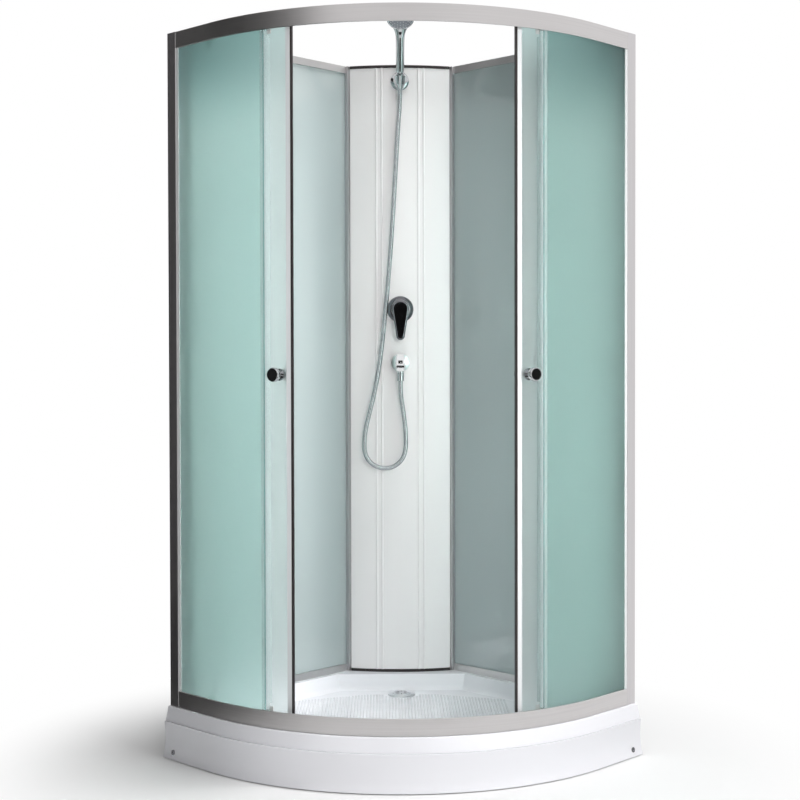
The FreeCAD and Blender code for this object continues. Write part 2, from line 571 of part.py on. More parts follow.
# Doors: bent glass that swings about the arc's centre, standing open as photographed
REAR = f"(-asin((arc_offset - post_width - rear_gap) / {DOOR_FACE}) / 1 deg)"
SPAN = f"(door_lead_angle - {REAR})"
door = swung("left_door_glass", [(DOOR_BACK, DOOR_FOOT), (DOOR_FACE, DOOR_FOOT), (DOOR_FACE, DOOR_TOP),
                                 (DOOR_BACK, DOOR_TOP)], SPAN, turn=REAR)
low_wheel = f"(2 * {MID} - {WHEEL})"
for name, turn, rise, size in (
    ("front_top_hole", "front_wheel_angle", WHEEL, "glass_hole"),
    ("rear_top_hole", "rear_wheel_angle", WHEEL, "glass_hole"),
    ("front_low_hole", "front_wheel_angle", low_wheel, "glass_hole"),
    ("rear_low_hole", "rear_wheel_angle", low_wheel, "glass_hole"),
    ("knob_hole", "knob_angle", "knob_height", "knob_hole"),
):
    drawing = ring(sketch(door, name + "_line", "YZ_Plane", turn=f"{SPAN} - {turn}"), "0", rise, size)
    feature(door, "Pocket", name, drawing, "rail_radius", back=True)
both_hands(door)

door_ends = (f"{DOOR_FOOT} + seal_end", f"{DOOR_TOP} - seal_end")
both_hands(edge_seal("left_door_seal", DOOR_FACE, DOOR_BACK, door_ends, "door_lead_angle - seal_over_angle",
                     "seal_over_angle", "seal_ahead_angle"))
both_hands(edge_seal("left_rear_seal", DOOR_FACE, DOOR_BACK, door_ends, f"{REAR} + edge_over_angle",
                     "edge_over_angle", "rear_ahead_angle", reverse=True))
both_hands(swung("left_door_magnet", [
    (f"{DOOR_BACK} - seal_skin", door_ends[0]), (f"{DOOR_FACE} + seal_skin", door_ends[0]),
    (f"{DOOR_FACE} + seal_skin", door_ends[1]), (f"{DOOR_BACK} - seal_skin", door_ends[1]),
], "magnet_ahead_angle - seal_ahead_angle", turn="door_lead_angle + seal_ahead_angle"))

# Knobs: the outer one carries a stud through the glass into the inner one.
# The inner one has a flat foot, so it is seated just off the hollow side of the glass.
grip_at = "knob_base_high + knob_neck_long"
grip_end = f"{grip_at} + knob_high"
knob_where = {"turn": "door_lead_angle - knob_angle", "height": "knob_height"}
both_hands(turned("left_outer_knob", [
    (f"{DOOR_BACK} - knob_socket + stud_clear", "0"),
    (f"{DOOR_BACK} - knob_socket + stud_clear", "knob_stud"),
    (DOOR_FACE, "knob_stud"), (DOOR_FACE, "knob_base"), (f"{DOOR_FACE} + knob_base_high", "knob_base"),
    (f"{DOOR_FACE} + knob_base_high", "knob_neck"), (f"{DOOR_FACE} + {grip_at}", "knob_neck"),
    (f"{DOOR_FACE} + {grip_at}", "knob_radius - knob_round"),
    (f"{DOOR_FACE} + {grip_at} + knob_round", "knob_radius"),
    (f"{DOOR_FACE} + {grip_end} - knob_round", "knob_radius"),
    (f"{DOOR_FACE} + {grip_end}", "knob_radius - knob_round"), (f"{DOOR_FACE} + {grip_end}", "0"),
], {7: ("right", "knob_round"), 9: ("right", "knob_round")}, **knob_where))
knob_back = f"({DOOR_BACK} - knob_seat)"
both_hands(turned("left_inner_knob", [
    (f"{knob_back} - ({grip_end})", "0"), (f"{knob_back} - ({grip_end})", "knob_radius - knob_round"),
    (f"{knob_back} - ({grip_end}) + knob_round", "knob_radius"),
    (f"{knob_back} - ({grip_at}) - knob_round", "knob_radius"),
    (f"{knob_back} - ({grip_at})", "knob_radius - knob_round"), (f"{knob_back} - ({grip_at})", "knob_neck"),
    (f"{knob_back} - knob_base_high", "knob_neck"), (f"{knob_back} - knob_base_high", "knob_base"),
    (knob_back, "knob_base"), (knob_back, "knob_stud + stud_clear"),
    (f"{knob_back} - knob_socket", "knob_stud + stud_clear"), (f"{knob_back} - knob_socket", "0"),
], {1: ("right", "knob_round"), 3: ("right", "knob_round")}, **knob_where))

# Rollers: each wheel turns on an axle whose hanger is bolted through the door glass
wheel_out = "rail_radius - wheel_offset"
wheel_in = f"{wheel_out} - wheel_width"
cap_face = f"{DOOR_BACK} - cap_gap"
hangers = []
for name, turn in (("front", "front_wheel_angle"), ("rear", "rear_wheel_angle")):
    spot = {"turn": f"door_lead_angle - {turn}", "height": WHEEL}
    wheel = turned(f"left_top_{name}_wheel", [
        (wheel_in, "wheel_bore"), (wheel_in, "wheel_radius - wheel_round"),
        (f"{wheel_in} + wheel_round", "wheel_radius"), (f"{wheel_out} - wheel_round", "wheel_radius"),
        (wheel_out, "wheel_radius - wheel_round"), (wheel_out, "wheel_bore")], **spot)
    both_hands(wheel)
    low = keep(mirrored(wheel, f"left_bottom_{name}_wheel", upright=True))
    keep(mirrored(low, f"right_bottom_{name}_wheel"))
    hanger = turned(f"left_top_{name}_hanger", [
        (f"{wheel_out} + wheel_gap + axle_head_thick", "0"),
        (f"{wheel_out} + wheel_gap + axle_head_thick", "axle_head"),
        (f"{wheel_out} + wheel_gap", "axle_head"), (f"{wheel_out} + wheel_gap", "axle_radius"),
        ("rail_radius - collar_front", "axle_radius"), ("rail_radius - collar_front", "collar_radius"),
        (DOOR_FACE, "collar_radius"), (DOOR_FACE, "shank_radius"), (cap_face, "shank_radius"),
        (cap_face, "hanger_cap"), (f"{DOOR_BACK} - cap_high + cap_round", "hanger_cap"),
        (f"{DOOR_BACK} - cap_high", "hanger_cap - cap_round"), (f"{DOOR_BACK} - cap_high", "0"),
    ], {10: ("left", "cap_round")}, **spot)
    plate = sketch(hanger, name + "_plate_line", "YZ_Plane", lift=DOOR_FACE)
    box(plate, "-hanger_half", "-hanger_drop", "hanger_half", "hanger_rise")
    feature(hanger, "Pad", name + "_plate", plate, "door_offset - hanger_front")
    hangers += [hanger, mirrored(hanger, f"left_bottom_{name}_hanger", upright=True)]
left_hangers = grouped("left_hangers", hangers)
keep(mirrored(left_hangers, "right_hangers"))

# Wall glass in its trims, left wall then right wall
trim_near, trim_far = f"{wall_near} - trim_skin", f"{wall_far} + trim_skin"
wall_glass = new_body("left_wall_glass")
drawing = box(sketch(wall_glass, "wall_glass_line", lift="tray_height + trim_high - post_slot"),
              "column_trim_far - post_slot + slot_gap - arc_offset", "wall_glass_back - arc_offset",
              f"{post_back} + post_slot - slot_gap", "wall_glass_back + glass_thick - arc_offset")
feature(wall_glass, "Pad", "wall_glass_pad", drawing, "frame_height - (trim_high - post_slot) * 2")
both_hands(wall_glass)

top_trim = new_body("left_top_trim")
trim_foot = f"{TOP} - trim_high"
trim_seat = f"{TOP} - trim_high + post_slot + slot_gap"
drawing = sketch(top_trim, "trim_line", "YZ_Plane", lift="column_trim_far + trim_gap - arc_offset")
outline(drawing, [
    (f"{trim_near} - arc_offset", trim_foot), (f"{wall_near} - arc_offset", trim_foot),
    (f"{wall_near} - arc_offset", trim_seat), (f"{wall_far} - arc_offset", trim_seat),
    (f"{wall_far} - arc_offset", trim_foot), (f"{trim_far} - arc_offset", trim_foot),
    (f"{trim_far} - arc_offset", TOP), (f"{trim_near} - arc_offset", TOP)])
feature(top_trim, "Pad", "trim_run", drawing, f"{post_back} - column_trim_far - trim_gap * 2 + arc_offset")
left_trims = grouped("left_wall_trims", [top_trim, mirrored(top_trim, "left_bottom_trim", upright=True)])
keep(mirrored(left_trims, "right_wall_trims"))

side_trim = new_body("left_column_trim")
drawing = outline(sketch(side_trim, "side_trim_line", lift="tray_height"), [
    ("column_trim_near - arc_offset", f"{trim_near} - arc_offset"),
    ("column_trim_far - arc_offset", f"{trim_near} - arc_offset"),
    ("column_trim_far - arc_offset", f"{wall_near} - arc_offset"),
    ("column_trim_far - post_slot - arc_offset", f"{wall_near} - arc_offset"),
    ("column_trim_far - post_slot - arc_offset", f"{wall_far} - arc_offset"),
    ("column_trim_far - arc_offset", f"{wall_far} - arc_offset"),
    ("column_trim_far - arc_offset", "column_trim_reach - arc_offset"),
    ("column_trim_near - arc_offset", "column_trim_reach - arc_offset")])
feature(side_trim, "Pad", "side_trim_pad", drawing, "frame_height")
both_hands(side_trim)

# Column: a bowed front panel with raised ribs, between dark strips at top and bottom
column = new_body("column_panel", **CORNER)
inner_edge = "column_edge - column_skin"
bow = {0: ("left", "column_radius"), 2: ("right", "column_radius")}
panel_foot = "tray_height + strip_high + strip_gap"
panel_high = "frame_height - (strip_high + strip_gap) * 2"
drawing = outline(sketch(column, "column_line", lift=panel_foot), [
    ("column_edge", "-column_half"), ("column_edge", "column_half"),
    (inner_edge, "column_half"), (inner_edge, "-column_half")], bow)
feature(column, "Pad", "column_pad", drawing, panel_high)
for name, across in (("far_left", "-rib_far"), ("near_left", "-rib_near"), ("near_right", "rib_near"),
                     ("far_right", "rib_far")):
    out = f"{FRONT} - column_radius + sqrt(column_radius ^ 2 - ({across}) ^ 2) - rib_sink"
    drawing = ring(sketch(column, name + "_rib_line", lift=panel_foot), out, across, "rib_radius")
    feature(column, "Pad", name + "_rib", drawing, panel_high)
for name, rise, size in (
    ("mixer_hole", "mixer_height", "panel_hole"), ("elbow_hole", ELBOW, "elbow_hole"),
):
    drawing = ring(sketch(column, name + "_line", "YZ_Plane"), "0", rise, size)
    feature(column, "Pocket", name, drawing, f"{FRONT} + cut_over", back=True)
keep(column)

strip = new_body("column_top_strip", **CORNER)
strip_edge = "column_edge + strip_proud"
drawing = outline(sketch(strip, "strip_line", lift=f"{TOP} - strip_high"), [
    (strip_edge, "-column_half"), (strip_edge, "column_half"),
    (f"{strip_edge} - strip_deep", "column_half"), (f"{strip_edge} - strip_deep", "-column_half")], bow)
feature(strip, "Pad", "strip_pad", drawing, "strip_high")
keep(strip)
keep(mirrored(strip, "column_bottom_strip", upright=True))

# Mixer: body behind the panel, round escutcheon, turning spindle, and a lever that tips on its pin
mixer = dict(CORNER, height="mixer_height")
body_back, body_front = f"{FRONT} - mixer_back", f"{FRONT} - mixer_front"
mixer_body = turned("mixer_body", [
    (body_back, "0"), (body_back, "mixer_radius"), (body_front, "mixer_radius"),
    (body_front, "neck_radius"), (f"{FRONT} + neck_rise", "neck_radius"), (f"{FRONT} + neck_rise", "0"),
], **mixer)
bar_at = f"({FRONT} - bar_back)"
drawing = ring(sketch(mixer_body, "bar_line", "XZ_Plane"), bar_at, "0", "bar_radius")
feature(mixer_body, "Pad", "inlet_bar", drawing, "bar_half * 2", both=True)
for name, across in (("left", "-inlet_apart"), ("right", "inlet_apart")):
    for step, size, long in (
        ("collar", "inlet_collar", "inlet_seat"), ("inlet", "inlet_radius", "inlet_long"),
    ):
        drawing = sketch(mixer_body, f"{name}_{step}_line", "YZ_Plane", lift=bar_at)
        ring(drawing, across, "0", size)
        feature(mixer_body, "Pad", f"{name}_{step}", drawing, long, back=True)
drawing = ring(sketch(mixer_body, "outlet_line"), bar_at, "0", "outlet_radius")
feature(mixer_body, "Pad", "outlet", drawing, "outlet_low", back=True)
for name, across in (("left", "-inlet_apart"), ("right", "inlet_apart")):
    drawing = ring(sketch(mixer_body, name + "_bore_line", "YZ_Plane", lift=f"{bar_at} - inlet_long"),
                   across, "0", "inlet_bore")
    feature(mixer_body, "Pocket", name + "_bore", drawing, "inlet_long", back=True)
drawing = ring(sketch(mixer_body, "spindle_bore_line", "YZ_Plane", lift=f"{FRONT} + neck_rise"), "0", "0",
               "spindle_bore")
feature(mixer_body, "Pocket", "spindle_bore", drawing, "neck_rise + bore_back")
keep(mixer_body)

keep(turned("mixer_escutcheon", [
    (FRONT, "escutcheon_bore"), (FRONT, "escutcheon_radius"),
    (f"{FRONT} + escutcheon_rim", "escutcheon_radius"), (f"{FRONT} + escutcheon_high", "escutcheon_top"),
    (f"{FRONT} + escutcheon_high", "escutcheon_bore"),
], {2: ("right", "escutcheon_high * 2")}, **mixer))

shoulder = f"{PIVOT} - sqrt(ball_radius ^ 2 - spindle_radius ^ 2)"
spindle = turned("mixer_spindle", [
    (f"{FRONT} - spindle_back", "0"), (f"{FRONT} - spindle_back", "spindle_radius"),
    (shoulder, "spindle_radius"), (PIVOT, "ball_radius"), (f"{PIVOT} + ball_radius", "0")],
    {2: ("right", "ball_radius"), 3: ("right", "ball_radius")}, **mixer)
drawing = ring(sketch(spindle, "pin_line", "XZ_Plane"), PIVOT, "0", "pin_radius")
feature(spindle, "Pad", "cross_pin", drawing, "pin_half * 2", both=True)
keep(spindle)

inner_ball = "(ball_radius + ball_gap)"
skirt = f"{PIVOT} - dome_skirt"
lever = turned("mixer_lever", [
    (skirt, f"sqrt({inner_ball} ^ 2 - dome_skirt ^ 2)"), (skirt, "sqrt(dome_radius ^ 2 - dome_skirt ^ 2)"),
    (PIVOT, "dome_radius"), (f"{PIVOT} + dome_radius", "0"), (f"{PIVOT} + {inner_ball}", "0"),
    (PIVOT, inner_ball),
], {
    1: ("right", "dome_radius"), 2: ("right", "dome_radius"),
    4: ("left", inner_ball), 5: ("left", inner_ball),
}, **mixer)
narrowing = "((shield_radius - tip_radius) / lever_drop)"
square = f"sqrt(1 - {narrowing} ^ 2)"
tip_end = f"-lever_drop - tip_radius * {narrowing}"


def shield_plane(name):
    return sketch(lever, name + "_line", "YZ_Plane", lift=f"{PIVOT} + {inner_ball}")


shield = outline(shield_plane("shield"), [
    (f"shield_radius * {square}", f"-shield_radius * {narrowing}"), (f"tip_radius * {square}", tip_end),
    (f"-tip_radius * {square}", tip_end), (f"-shield_radius * {square}", f"-shield_radius * {narrowing}")])
feature(lever, "Pad", "shield", shield, "lever_thick")
for name, rise, size in (("shield_top", "0", "shield_radius"), ("shield_tip", "-lever_drop", "tip_radius")):
    feature(lever, "Pad", name, ring(shield_plane(name), "0", rise, size), "lever_thick")


def shield_edge(edge):
    """True for an edge round the front of the lever's shield."""
    face = value(f"{PIVOT} + {inner_ball} + lever_thick")
    return all(math.isclose(end, face, rel_tol=SAME) for end in (edge.BoundBox.XMin, edge.BoundBox.XMax))


drawing = ring(sketch(lever, "pin_hole_line", "XZ_Plane"), PIVOT, "0", "pin_radius + pin_clear")
feature(lever, "Pocket", "pin_hole", drawing, "dome_radius * 2 + cut_over", both=True)
rounded(lever, "lever_round", "lever_round", shield_edge)
keep(lever)

pipe = new_body("outlet_pipe", height=f"{ELBOW} + tail_rise", **CORNER)
drawing = ring(sketch(pipe, "pipe_line"), bar_at, "0", "pipe_radius")
ring(drawing, bar_at, "0", "pipe_bore")
feature(pipe, "Pad", "pipe_pad", drawing, "elbow_below - outlet_low - tail_rise")
keep(pipe)

# Hose outlet: a round drum on the panel, a tail behind it, and a neck that comes out below
elbow = turned("outlet_elbow", [
    (f"{bar_at} - tail_end", "0"), (f"{bar_at} - tail_end", "elbow_tail"), (FRONT, "elbow_tail"),
    (FRONT, "elbow_radius"), (f"{FRONT} + elbow_deep", "elbow_radius"),
    (f"{FRONT} + elbow_deep + elbow_crown", "0")],
    {4: ("right", "(elbow_radius ^ 2 + elbow_crown ^ 2) / (elbow_crown * 2)")},
    **dict(CORNER, height=ELBOW))
neck_at = f"({FRONT} + elbow_reach)"
drawing = ring(sketch(elbow, "neck_line"), neck_at, "0", "elbow_neck")
feature(elbow, "Pad", "neck", drawing, "elbow_drop", back=True)
drawing = ring(sketch(elbow, "riser_line"), bar_at, "0", "elbow_tail")
feature(elbow, "Pad", "riser", drawing, "tail_rise")
drawing = ring(sketch(elbow, "neck_bore_line", lift="-elbow_drop"), neck_at, "0", "pipe_bore")
feature(elbow, "Pocket", "neck_bore", drawing, "elbow_drop", back=True)
drawing = ring(sketch(elbow, "riser_bore_line", lift="tail_rise"), bar_at, "0", "pipe_bore")
feature(elbow, "Pocket", "riser_bore", drawing, "tail_rise")
drawing = ring(sketch(elbow, "way_line", "YZ_Plane", lift=bar_at), "0", "0", "pipe_bore")
feature(elbow, "Pocket", "way", drawing, "bar_back + elbow_reach", back=True)
keep(elbow)

nut = new_body("hose_nut", at=(f"{neck_at} / sqrt(2) - arc_offset", f"{neck_at} / sqrt(2) - arc_offset"),
               turn="diagonal_angle", height=f"{ELBOW} - nut_low")
nut_high = "nut_low - elbow_drop"
drawing = outline(sketch(nut, "hose_nut_line", "XZ_Plane"), [
    ("hose_bore", "0"), ("nut_outer - nut_edge", "0"), ("nut_outer", "nut_edge"),
    ("nut_outer", f"{nut_high} - nut_edge"), ("nut_outer - nut_edge", nut_high), ("hose_bore", nut_high)])
feature(nut, "Revolution", "hose_nut_turn", drawing, axis="V_Axis")
keep(nut)

# Holder, hose end and hand shower share the leaning line through the holder's socket
SOCKET = f"(({FRONT} + socket_reach) / sqrt(2) - arc_offset)"
LEANING = {"at": (SOCKET, SOCKET), "turn": "diagonal_angle", "lean": "lean_angle", "height": HOLDER}


def leaning(label, points, arcs=None):
    body = new_body(label, **LEANING)
    drawing = outline(sketch(body, label + "_line", "XZ_Plane"), points, arcs)
    feature(body, "Revolution", label + "_turn", drawing, axis="V_Axis")
    return body


holder_base = turned("holder_base", [
    (FRONT, "0"), (FRONT, "holder_radius"), (f"{FRONT} + holder_rim", "holder_radius"),
    (f"{FRONT} + holder_high", "holder_top"), (f"{FRONT} + holder_high", "stem_radius"),
    (f"{FRONT} + socket_reach - cone_large", "stem_radius"), (f"{FRONT} + socket_reach - cone_large", "0")],
    {2: ("right", "holder_high * 2")}, **dict(CORNER, height=f"{HOLDER} + holder_lift"))
cup = leaning("holder_cup", [
    ("0", "-socket_half"), ("cone_small + socket_wall", "-socket_half"),
    ("cone_large + socket_wall", "socket_half"), ("0", "socket_half")])
taper = "(cone_large - cone_small) * bore_over / (socket_half * 2)"
cup_bore = leaning("holder_bore", [
    ("0", "-socket_half - bore_over"), (f"cone_small + socket_gap - {taper}", "-socket_half - bore_over"),
    (f"cone_large + socket_gap + {taper}", "socket_half + bore_over"), ("0", "socket_half + bore_over")])
drawing = box(sketch(cup_bore, "holder_slot_line", lift="-socket_half - bore_over"), "0", "-socket_slot",
              "cone_large + socket_wall * 2", "socket_slot")
feature(cup_bore, "Pad", "holder_slot", drawing, "(socket_half + bore_over) * 2")
holder_whole = doc.addObject("Part::Fuse", "holder_whole")
holder_whole.Base = holder_base
holder_whole.Tool = cup
holder = doc.addObject("Part::Cut", "shower_holder")
holder.Base = holder_whole
holder.Tool = cup_bore
keep(holder)

keep(leaning("hose_cone", [
    ("0", "-cone_low"), ("cone_foot", "-cone_low"), ("cone_small", "-socket_half"),
    ("cone_large", "socket_half"), ("cone_large", "cone_top"), ("0", "cone_top")]))

shower = leaning("hand_shower", [
    ("0", "cone_top"), ("handle_low", "cone_top"), ("handle_mid", "handle_end / 2"),
    ("handle_top", "handle_end"), ("handle_top - handle_cap", "handle_end + handle_cap"),
    ("0", "handle_end + handle_cap")], {3: ("left", "handle_cap")})


def on_head(drawing):
    """Moves a sketch to the head's own axis, which looks down and forward from the handle."""
    drawing.AttachmentOffset = Placement(Vector(), Rotation(UPRIGHT, -value("face_drop_angle")))
    drawing.setExpression("AttachmentOffset.Base.x", bound("head_reach"))
    drawing.setExpression("AttachmentOffset.Base.y", bound("head_rise"))
    return drawing


head_bulge = "(head_back - head_rim)"
head = on_head(sketch(shower, "head_line", "XZ_Plane"))
outline(head, [
    ("-head_back", "0"), ("-head_rim", "head_radius"), ("head_front", "head_radius"),
    ("head_front", "plate_radius + plate_gap"), ("plate_seat", "plate_radius + plate_gap"),
    ("plate_seat", "0"),
], {0: ("right", f"(head_radius ^ 2 + {head_bulge} ^ 2) / ({head_bulge} * 2)")})
feature(shower, "Revolution", "head", head, axis="H_Axis")
web = sketch(shower, "web_line", "YZ_Plane")
web.AttachmentOffset = Placement(Vector(), Rotation(Vector(1, 0, 0), value("face_drop_angle")))
web.setExpression("AttachmentOffset.Base.y", bound("head_rise"))
web.setExpression("AttachmentOffset.Base.z", bound("head_reach"))
outline(web, [("-web_low", "-web_start"), ("web_low", "-web_start"), ("web_high", "-web_end"),
              ("-web_high", "-web_end")], {1: ("right", "web_bend"), 3: ("right", "web_bend")})
feature(shower, "Pad", "web", web, "web_thick", back=True)
recess = on_head(sketch(shower, "recess_line", "XZ_Plane"))
box(recess, "plate_seat", "0", "plate_seat + plate_thick", "plate_radius + plate_gap")
feature(shower, "Groove", "plate_recess", recess, axis="H_Axis")
keep(shower)

plate = new_body("spray_plate", **LEANING)
drawing = on_head(sketch(plate, "spray_plate_line", "XZ_Plane"))
box(drawing, "plate_seat", "0", "plate_seat + plate_thick", "plate_radius")
feature(plate, "Revolution", "spray_plate_turn", drawing, axis="H_Axis")
keep(plate)

# Hose: straight runs joined by tangent arcs, from the nut's foot to the foot of the cone.
# The loop's rows are a standoff from the column's front, a sideways place and a drop below the nut.
# The rise's rows are a standoff, a sideways place and a share of the way up from the nut to the holder.
HOSE_LOOP = [
    (32, 0, 38), (32, 8, 88), (31.5, 15.6, 150), (31, 15, 220.3), (30.5, -20.7, 256), (30.5, -71.3, 256),
    (31, -107, 220.3), (31, -106, 155), (31.5, -92, 95), (32, -74, 25),
]
HOSE_RISE = [(32, -58), (32, -45), (31, -33), (27, -22), (21, -13), (17, -5.5)]
rise_share = [0.086, 0.233, 0.392, 0.576, 0.760, 0.919]
doc.recompute()
out, side = Vector(1, -1, 0) / math.sqrt(2), Vector(1, 1, 0) / math.sqrt(2)
wall_corner = Vector(-value(HALF_SIDE), value(HALF_SIDE), 0)


def column_point(standoff, across, height):
    return wall_corner + out * (value(FRONT) + standoff) + side * across + UPRIGHT * height


lean_by = math.radians(value("lean_angle"))
lean_line = UPRIGHT * math.cos(lean_by) + out * math.sin(lean_by)
hose_start = column_point(value("elbow_reach"), 0, value(f"{ELBOW} - nut_low"))
hose_end = column_point(value("socket_reach"), 0, value(HOLDER)) - lean_line * value("cone_low")
hose_lead = hose_end - lean_line * value("hose_entry")
route = [hose_start]
for standoff, across, drop in HOSE_LOOP:
    route.append(column_point(standoff, across, hose_start.z - drop))
for (standoff, across), share in zip(HOSE_RISE, rise_share):
    route.append(column_point(standoff, across, hose_start.z + share * (hose_lead.z - hose_start.z)))
route += [hose_lead, hose_end]
bend_share = 0.45
edges, reach, radii = [], route[0], []
for before, corner, after in zip(route, route[1:], route[2:]):
    into = (corner - before).normalize()
    away = (after - corner).normalize()
    setback = bend_share * min((corner - before).Length, (after - corner).Length)
    half_turn = into.getAngle(away) / 2
    radius = setback / math.tan(half_turn)
    radii.append(radius)
    inward = (away - into).normalize()
    start, stop = corner - into * setback, corner + away * setback
    middle = corner + inward * (radius / math.cos(half_turn) - radius)
    edges += [Part.makeLine(reach, start), Part.Arc(start, middle, stop).toShape()]
    reach = stop
edges.append(Part.makeLine(reach, route[-1]))
hose_line = doc.addObject("Part::Feature", "hose_line")
hose_line.Shape = Part.Wire(edges)
hose_solids = []
for name, size in (("hose_outside", "hose_radius"), ("hose_inside", "hose_bore")):
    section = doc.addObject("Part::Feature", name + "_section")
    section.Shape = Part.Wire(Part.makeCircle(value(size), route[0], (route[1] - route[0]).normalize()))
    sweep = doc.addObject("Part::Sweep", name)
    sweep.Sections = [section]
    sweep.Spine = (hose_line, [f"Edge{i}" for i in range(1, len(edges) + 1)])
    sweep.Solid = True
    hose_solids.append(sweep)
hose = doc.addObject("Part::Cut", "shower_hose")
hose.Base, hose.Tool = hose_solids
keep(hose)
doc.recompute()
length = hose_line.Shape.Length
area = math.pi * (value("hose_radius") ** 2 - value("hose_bore") ** 2)
print("hose length", round(length), "volume share", round(hose.Shape.Volume / (area * length), 4))
print("hose radii", [round(r) for r in radii])

# Every object must have built, and every kept shape must be a sound solid, before files are written
faults = [item.Name for item in doc.Objects if {"Invalid", "Error"} & set(item.State)]
faults += [name for name, item in parts.items() if item.Shape.isNull() or not item.Shape.isValid()]
if faults:
    raise RuntimeError("not built: " + ", ".join(faults))
os.makedirs("parts", exist_ok=True)
for name, item in parts.items():
    item.Shape.exportStep(f"parts/{name}.step")
print(len(parts), "parts written")
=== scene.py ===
# %% [markdown]
# # Shower cabin
# This lesson dresses a corner shower cabin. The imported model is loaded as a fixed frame, and everything
# added here is in metres in that same frame: the wall corner is behind, at (-0.455, 0.455), and the
# curved front faces +X and -Y. The model's own meshes stay as they are. They get finishes, and a few of
# them give way to finer pieces.

# %% Load the frame
import math

import bmesh
import bpy
from mathutils import Matrix, Vector


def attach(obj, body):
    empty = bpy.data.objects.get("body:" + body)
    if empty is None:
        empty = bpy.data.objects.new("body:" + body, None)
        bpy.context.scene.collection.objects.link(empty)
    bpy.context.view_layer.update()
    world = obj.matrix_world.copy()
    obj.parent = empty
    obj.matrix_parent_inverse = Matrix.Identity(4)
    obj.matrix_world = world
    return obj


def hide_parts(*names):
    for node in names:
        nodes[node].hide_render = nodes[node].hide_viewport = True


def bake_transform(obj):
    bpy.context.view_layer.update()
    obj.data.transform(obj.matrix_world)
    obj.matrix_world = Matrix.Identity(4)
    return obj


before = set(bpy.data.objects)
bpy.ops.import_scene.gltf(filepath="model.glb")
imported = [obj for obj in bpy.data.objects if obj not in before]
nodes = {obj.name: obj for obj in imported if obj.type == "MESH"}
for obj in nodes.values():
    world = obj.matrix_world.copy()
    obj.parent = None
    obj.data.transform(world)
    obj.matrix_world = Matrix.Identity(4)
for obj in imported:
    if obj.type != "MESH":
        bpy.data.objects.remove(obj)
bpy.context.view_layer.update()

# %% [markdown]
# ## Places on the diagonal
# A quarter-round cabin is the same on both sides of its diagonal, and the fittings stand on that line. X
# and Y would hide this, because every place would need both. So a place is given here as a distance out
# from the wall corner, a distance to the right and a height, and one helper turns it into X, Y and Z.

# %% Places
CORNER = Vector((-0.455, 0.455, 0))
OUT = Vector((1, -1, 0)).normalized()
SIDE = Vector((1, 1, 0)).normalized()
UP = Vector((0, 0, 1))
COLUMN_FRONT = 0.233008
ARC_CENTRE_OUT = 0.261630


def spot(out, side, height):
    return CORNER + OUT * out + SIDE * side + UP * height


print("column front at", [round(x, 4) for x in spot(COLUMN_FRONT, 0, 0)])

# %% [markdown]
# ## Camera
# The view is from chest height, a little to one side of the diagonal. A camera can be placed by eye, but
# the cabin's long straight lines show an error of half a degree. So the numbers were fitted to the rails,
# posts, column and tray, for a square picture 800 pixels wide. The lens shift keeps the uprights upright,
# as an architect's lens does.

# %% Camera
FOCAL_PIXELS, PICTURE = 1413.44, 800
CENTRE_X, CENTRE_Y = 399.20, 388.36
CAMERA_DISTANCE, CAMERA_HEIGHT = 4.4131, 1.0581
heading, pitch, roll = math.radians(44.1475), math.radians(1.0998), math.radians(-0.1132)

lens = bpy.data.cameras.new("camera")
lens.sensor_width = 36
lens.lens = FOCAL_PIXELS * lens.sensor_width / PICTURE
lens.shift_x = (PICTURE / 2 - CENTRE_X) / PICTURE
lens.shift_y = (CENTRE_Y - PICTURE / 2) / PICTURE
camera = bpy.data.objects.new("camera", lens)
bpy.context.scene.collection.objects.link(camera)
bpy.context.scene.camera = camera
away = Vector((math.sin(heading), -math.cos(heading), 0))
camera.location = CORNER + away * CAMERA_DISTANCE + UP * CAMERA_HEIGHT
looking = -away * math.cos(pitch) - UP * math.sin(pitch)
turn = looking.to_track_quat("-Z", "Y").to_matrix() @ Matrix.Rotation(roll, 3, "Z")
camera.rotation_euler = turn.to_euler()
print("camera at", [round(x, 3) for x in camera.location], "lens", round(lens.lens, 2))

# %% [markdown]
# ## Studio
# The cabin stands in a white studio. One strong white world would do, but then the light on the cabin
# would be flat and too strong. So the world has two parts, chosen by the kind of ray: what is looked at,
# mirrored or seen through glass is plain white paper, and the light that falls on surfaces is much
# weaker. It is strongest from above and from behind, a little weaker from the right and from the front,
# and faint from the left.

# %% World
bpy.context.scene.view_settings.view_transform = "Standard"
world = bpy.data.worlds.new("studio")
bpy.context.scene.world = world
world.use_nodes = True
room = world.node_tree
room.nodes.clear()


def math_node(tree, operation, *inputs):
    node = tree.nodes.new("ShaderNodeMath")
    node.operation = operation
    for socket, given in zip(node.inputs, inputs):
        if isinstance(given, (int, float)):
            socket.default_value = given
        else:
            tree.links.new(given, socket)
    return node.outputs[0]


def eased(tree, given, start, stop, low=0.0, high=1.0):
    """A smooth step from low to high while the given value goes from start to stop."""
    ramp = tree.nodes.new("ShaderNodeMapRange")
    ramp.interpolation_type = "SMOOTHSTEP"
    for name, number in (("From Min", start), ("From Max", stop), ("To Min", low), ("To Max", high)):
        ramp.inputs[name].default_value = number
    tree.links.new(given, ramp.inputs["Value"])
    return ramp.outputs["Result"]


def looked_at(tree):
    """1 for rays from the camera, from a mirror and through glass, 0 once they light a dull surface."""
    rays = tree.nodes.new("ShaderNodeLightPath").outputs
    mirrored = math_node(tree, "MAXIMUM", rays["Is Glossy Ray"], rays["Is Transmission Ray"])
    direct = math_node(tree, "LESS_THAN", rays["Diffuse Depth"], 0.5)
    return math_node(tree, "MAXIMUM", rays["Is Camera Ray"], math_node(tree, "MULTIPLY", mirrored, direct))


FAINT_GLOW = 0.08


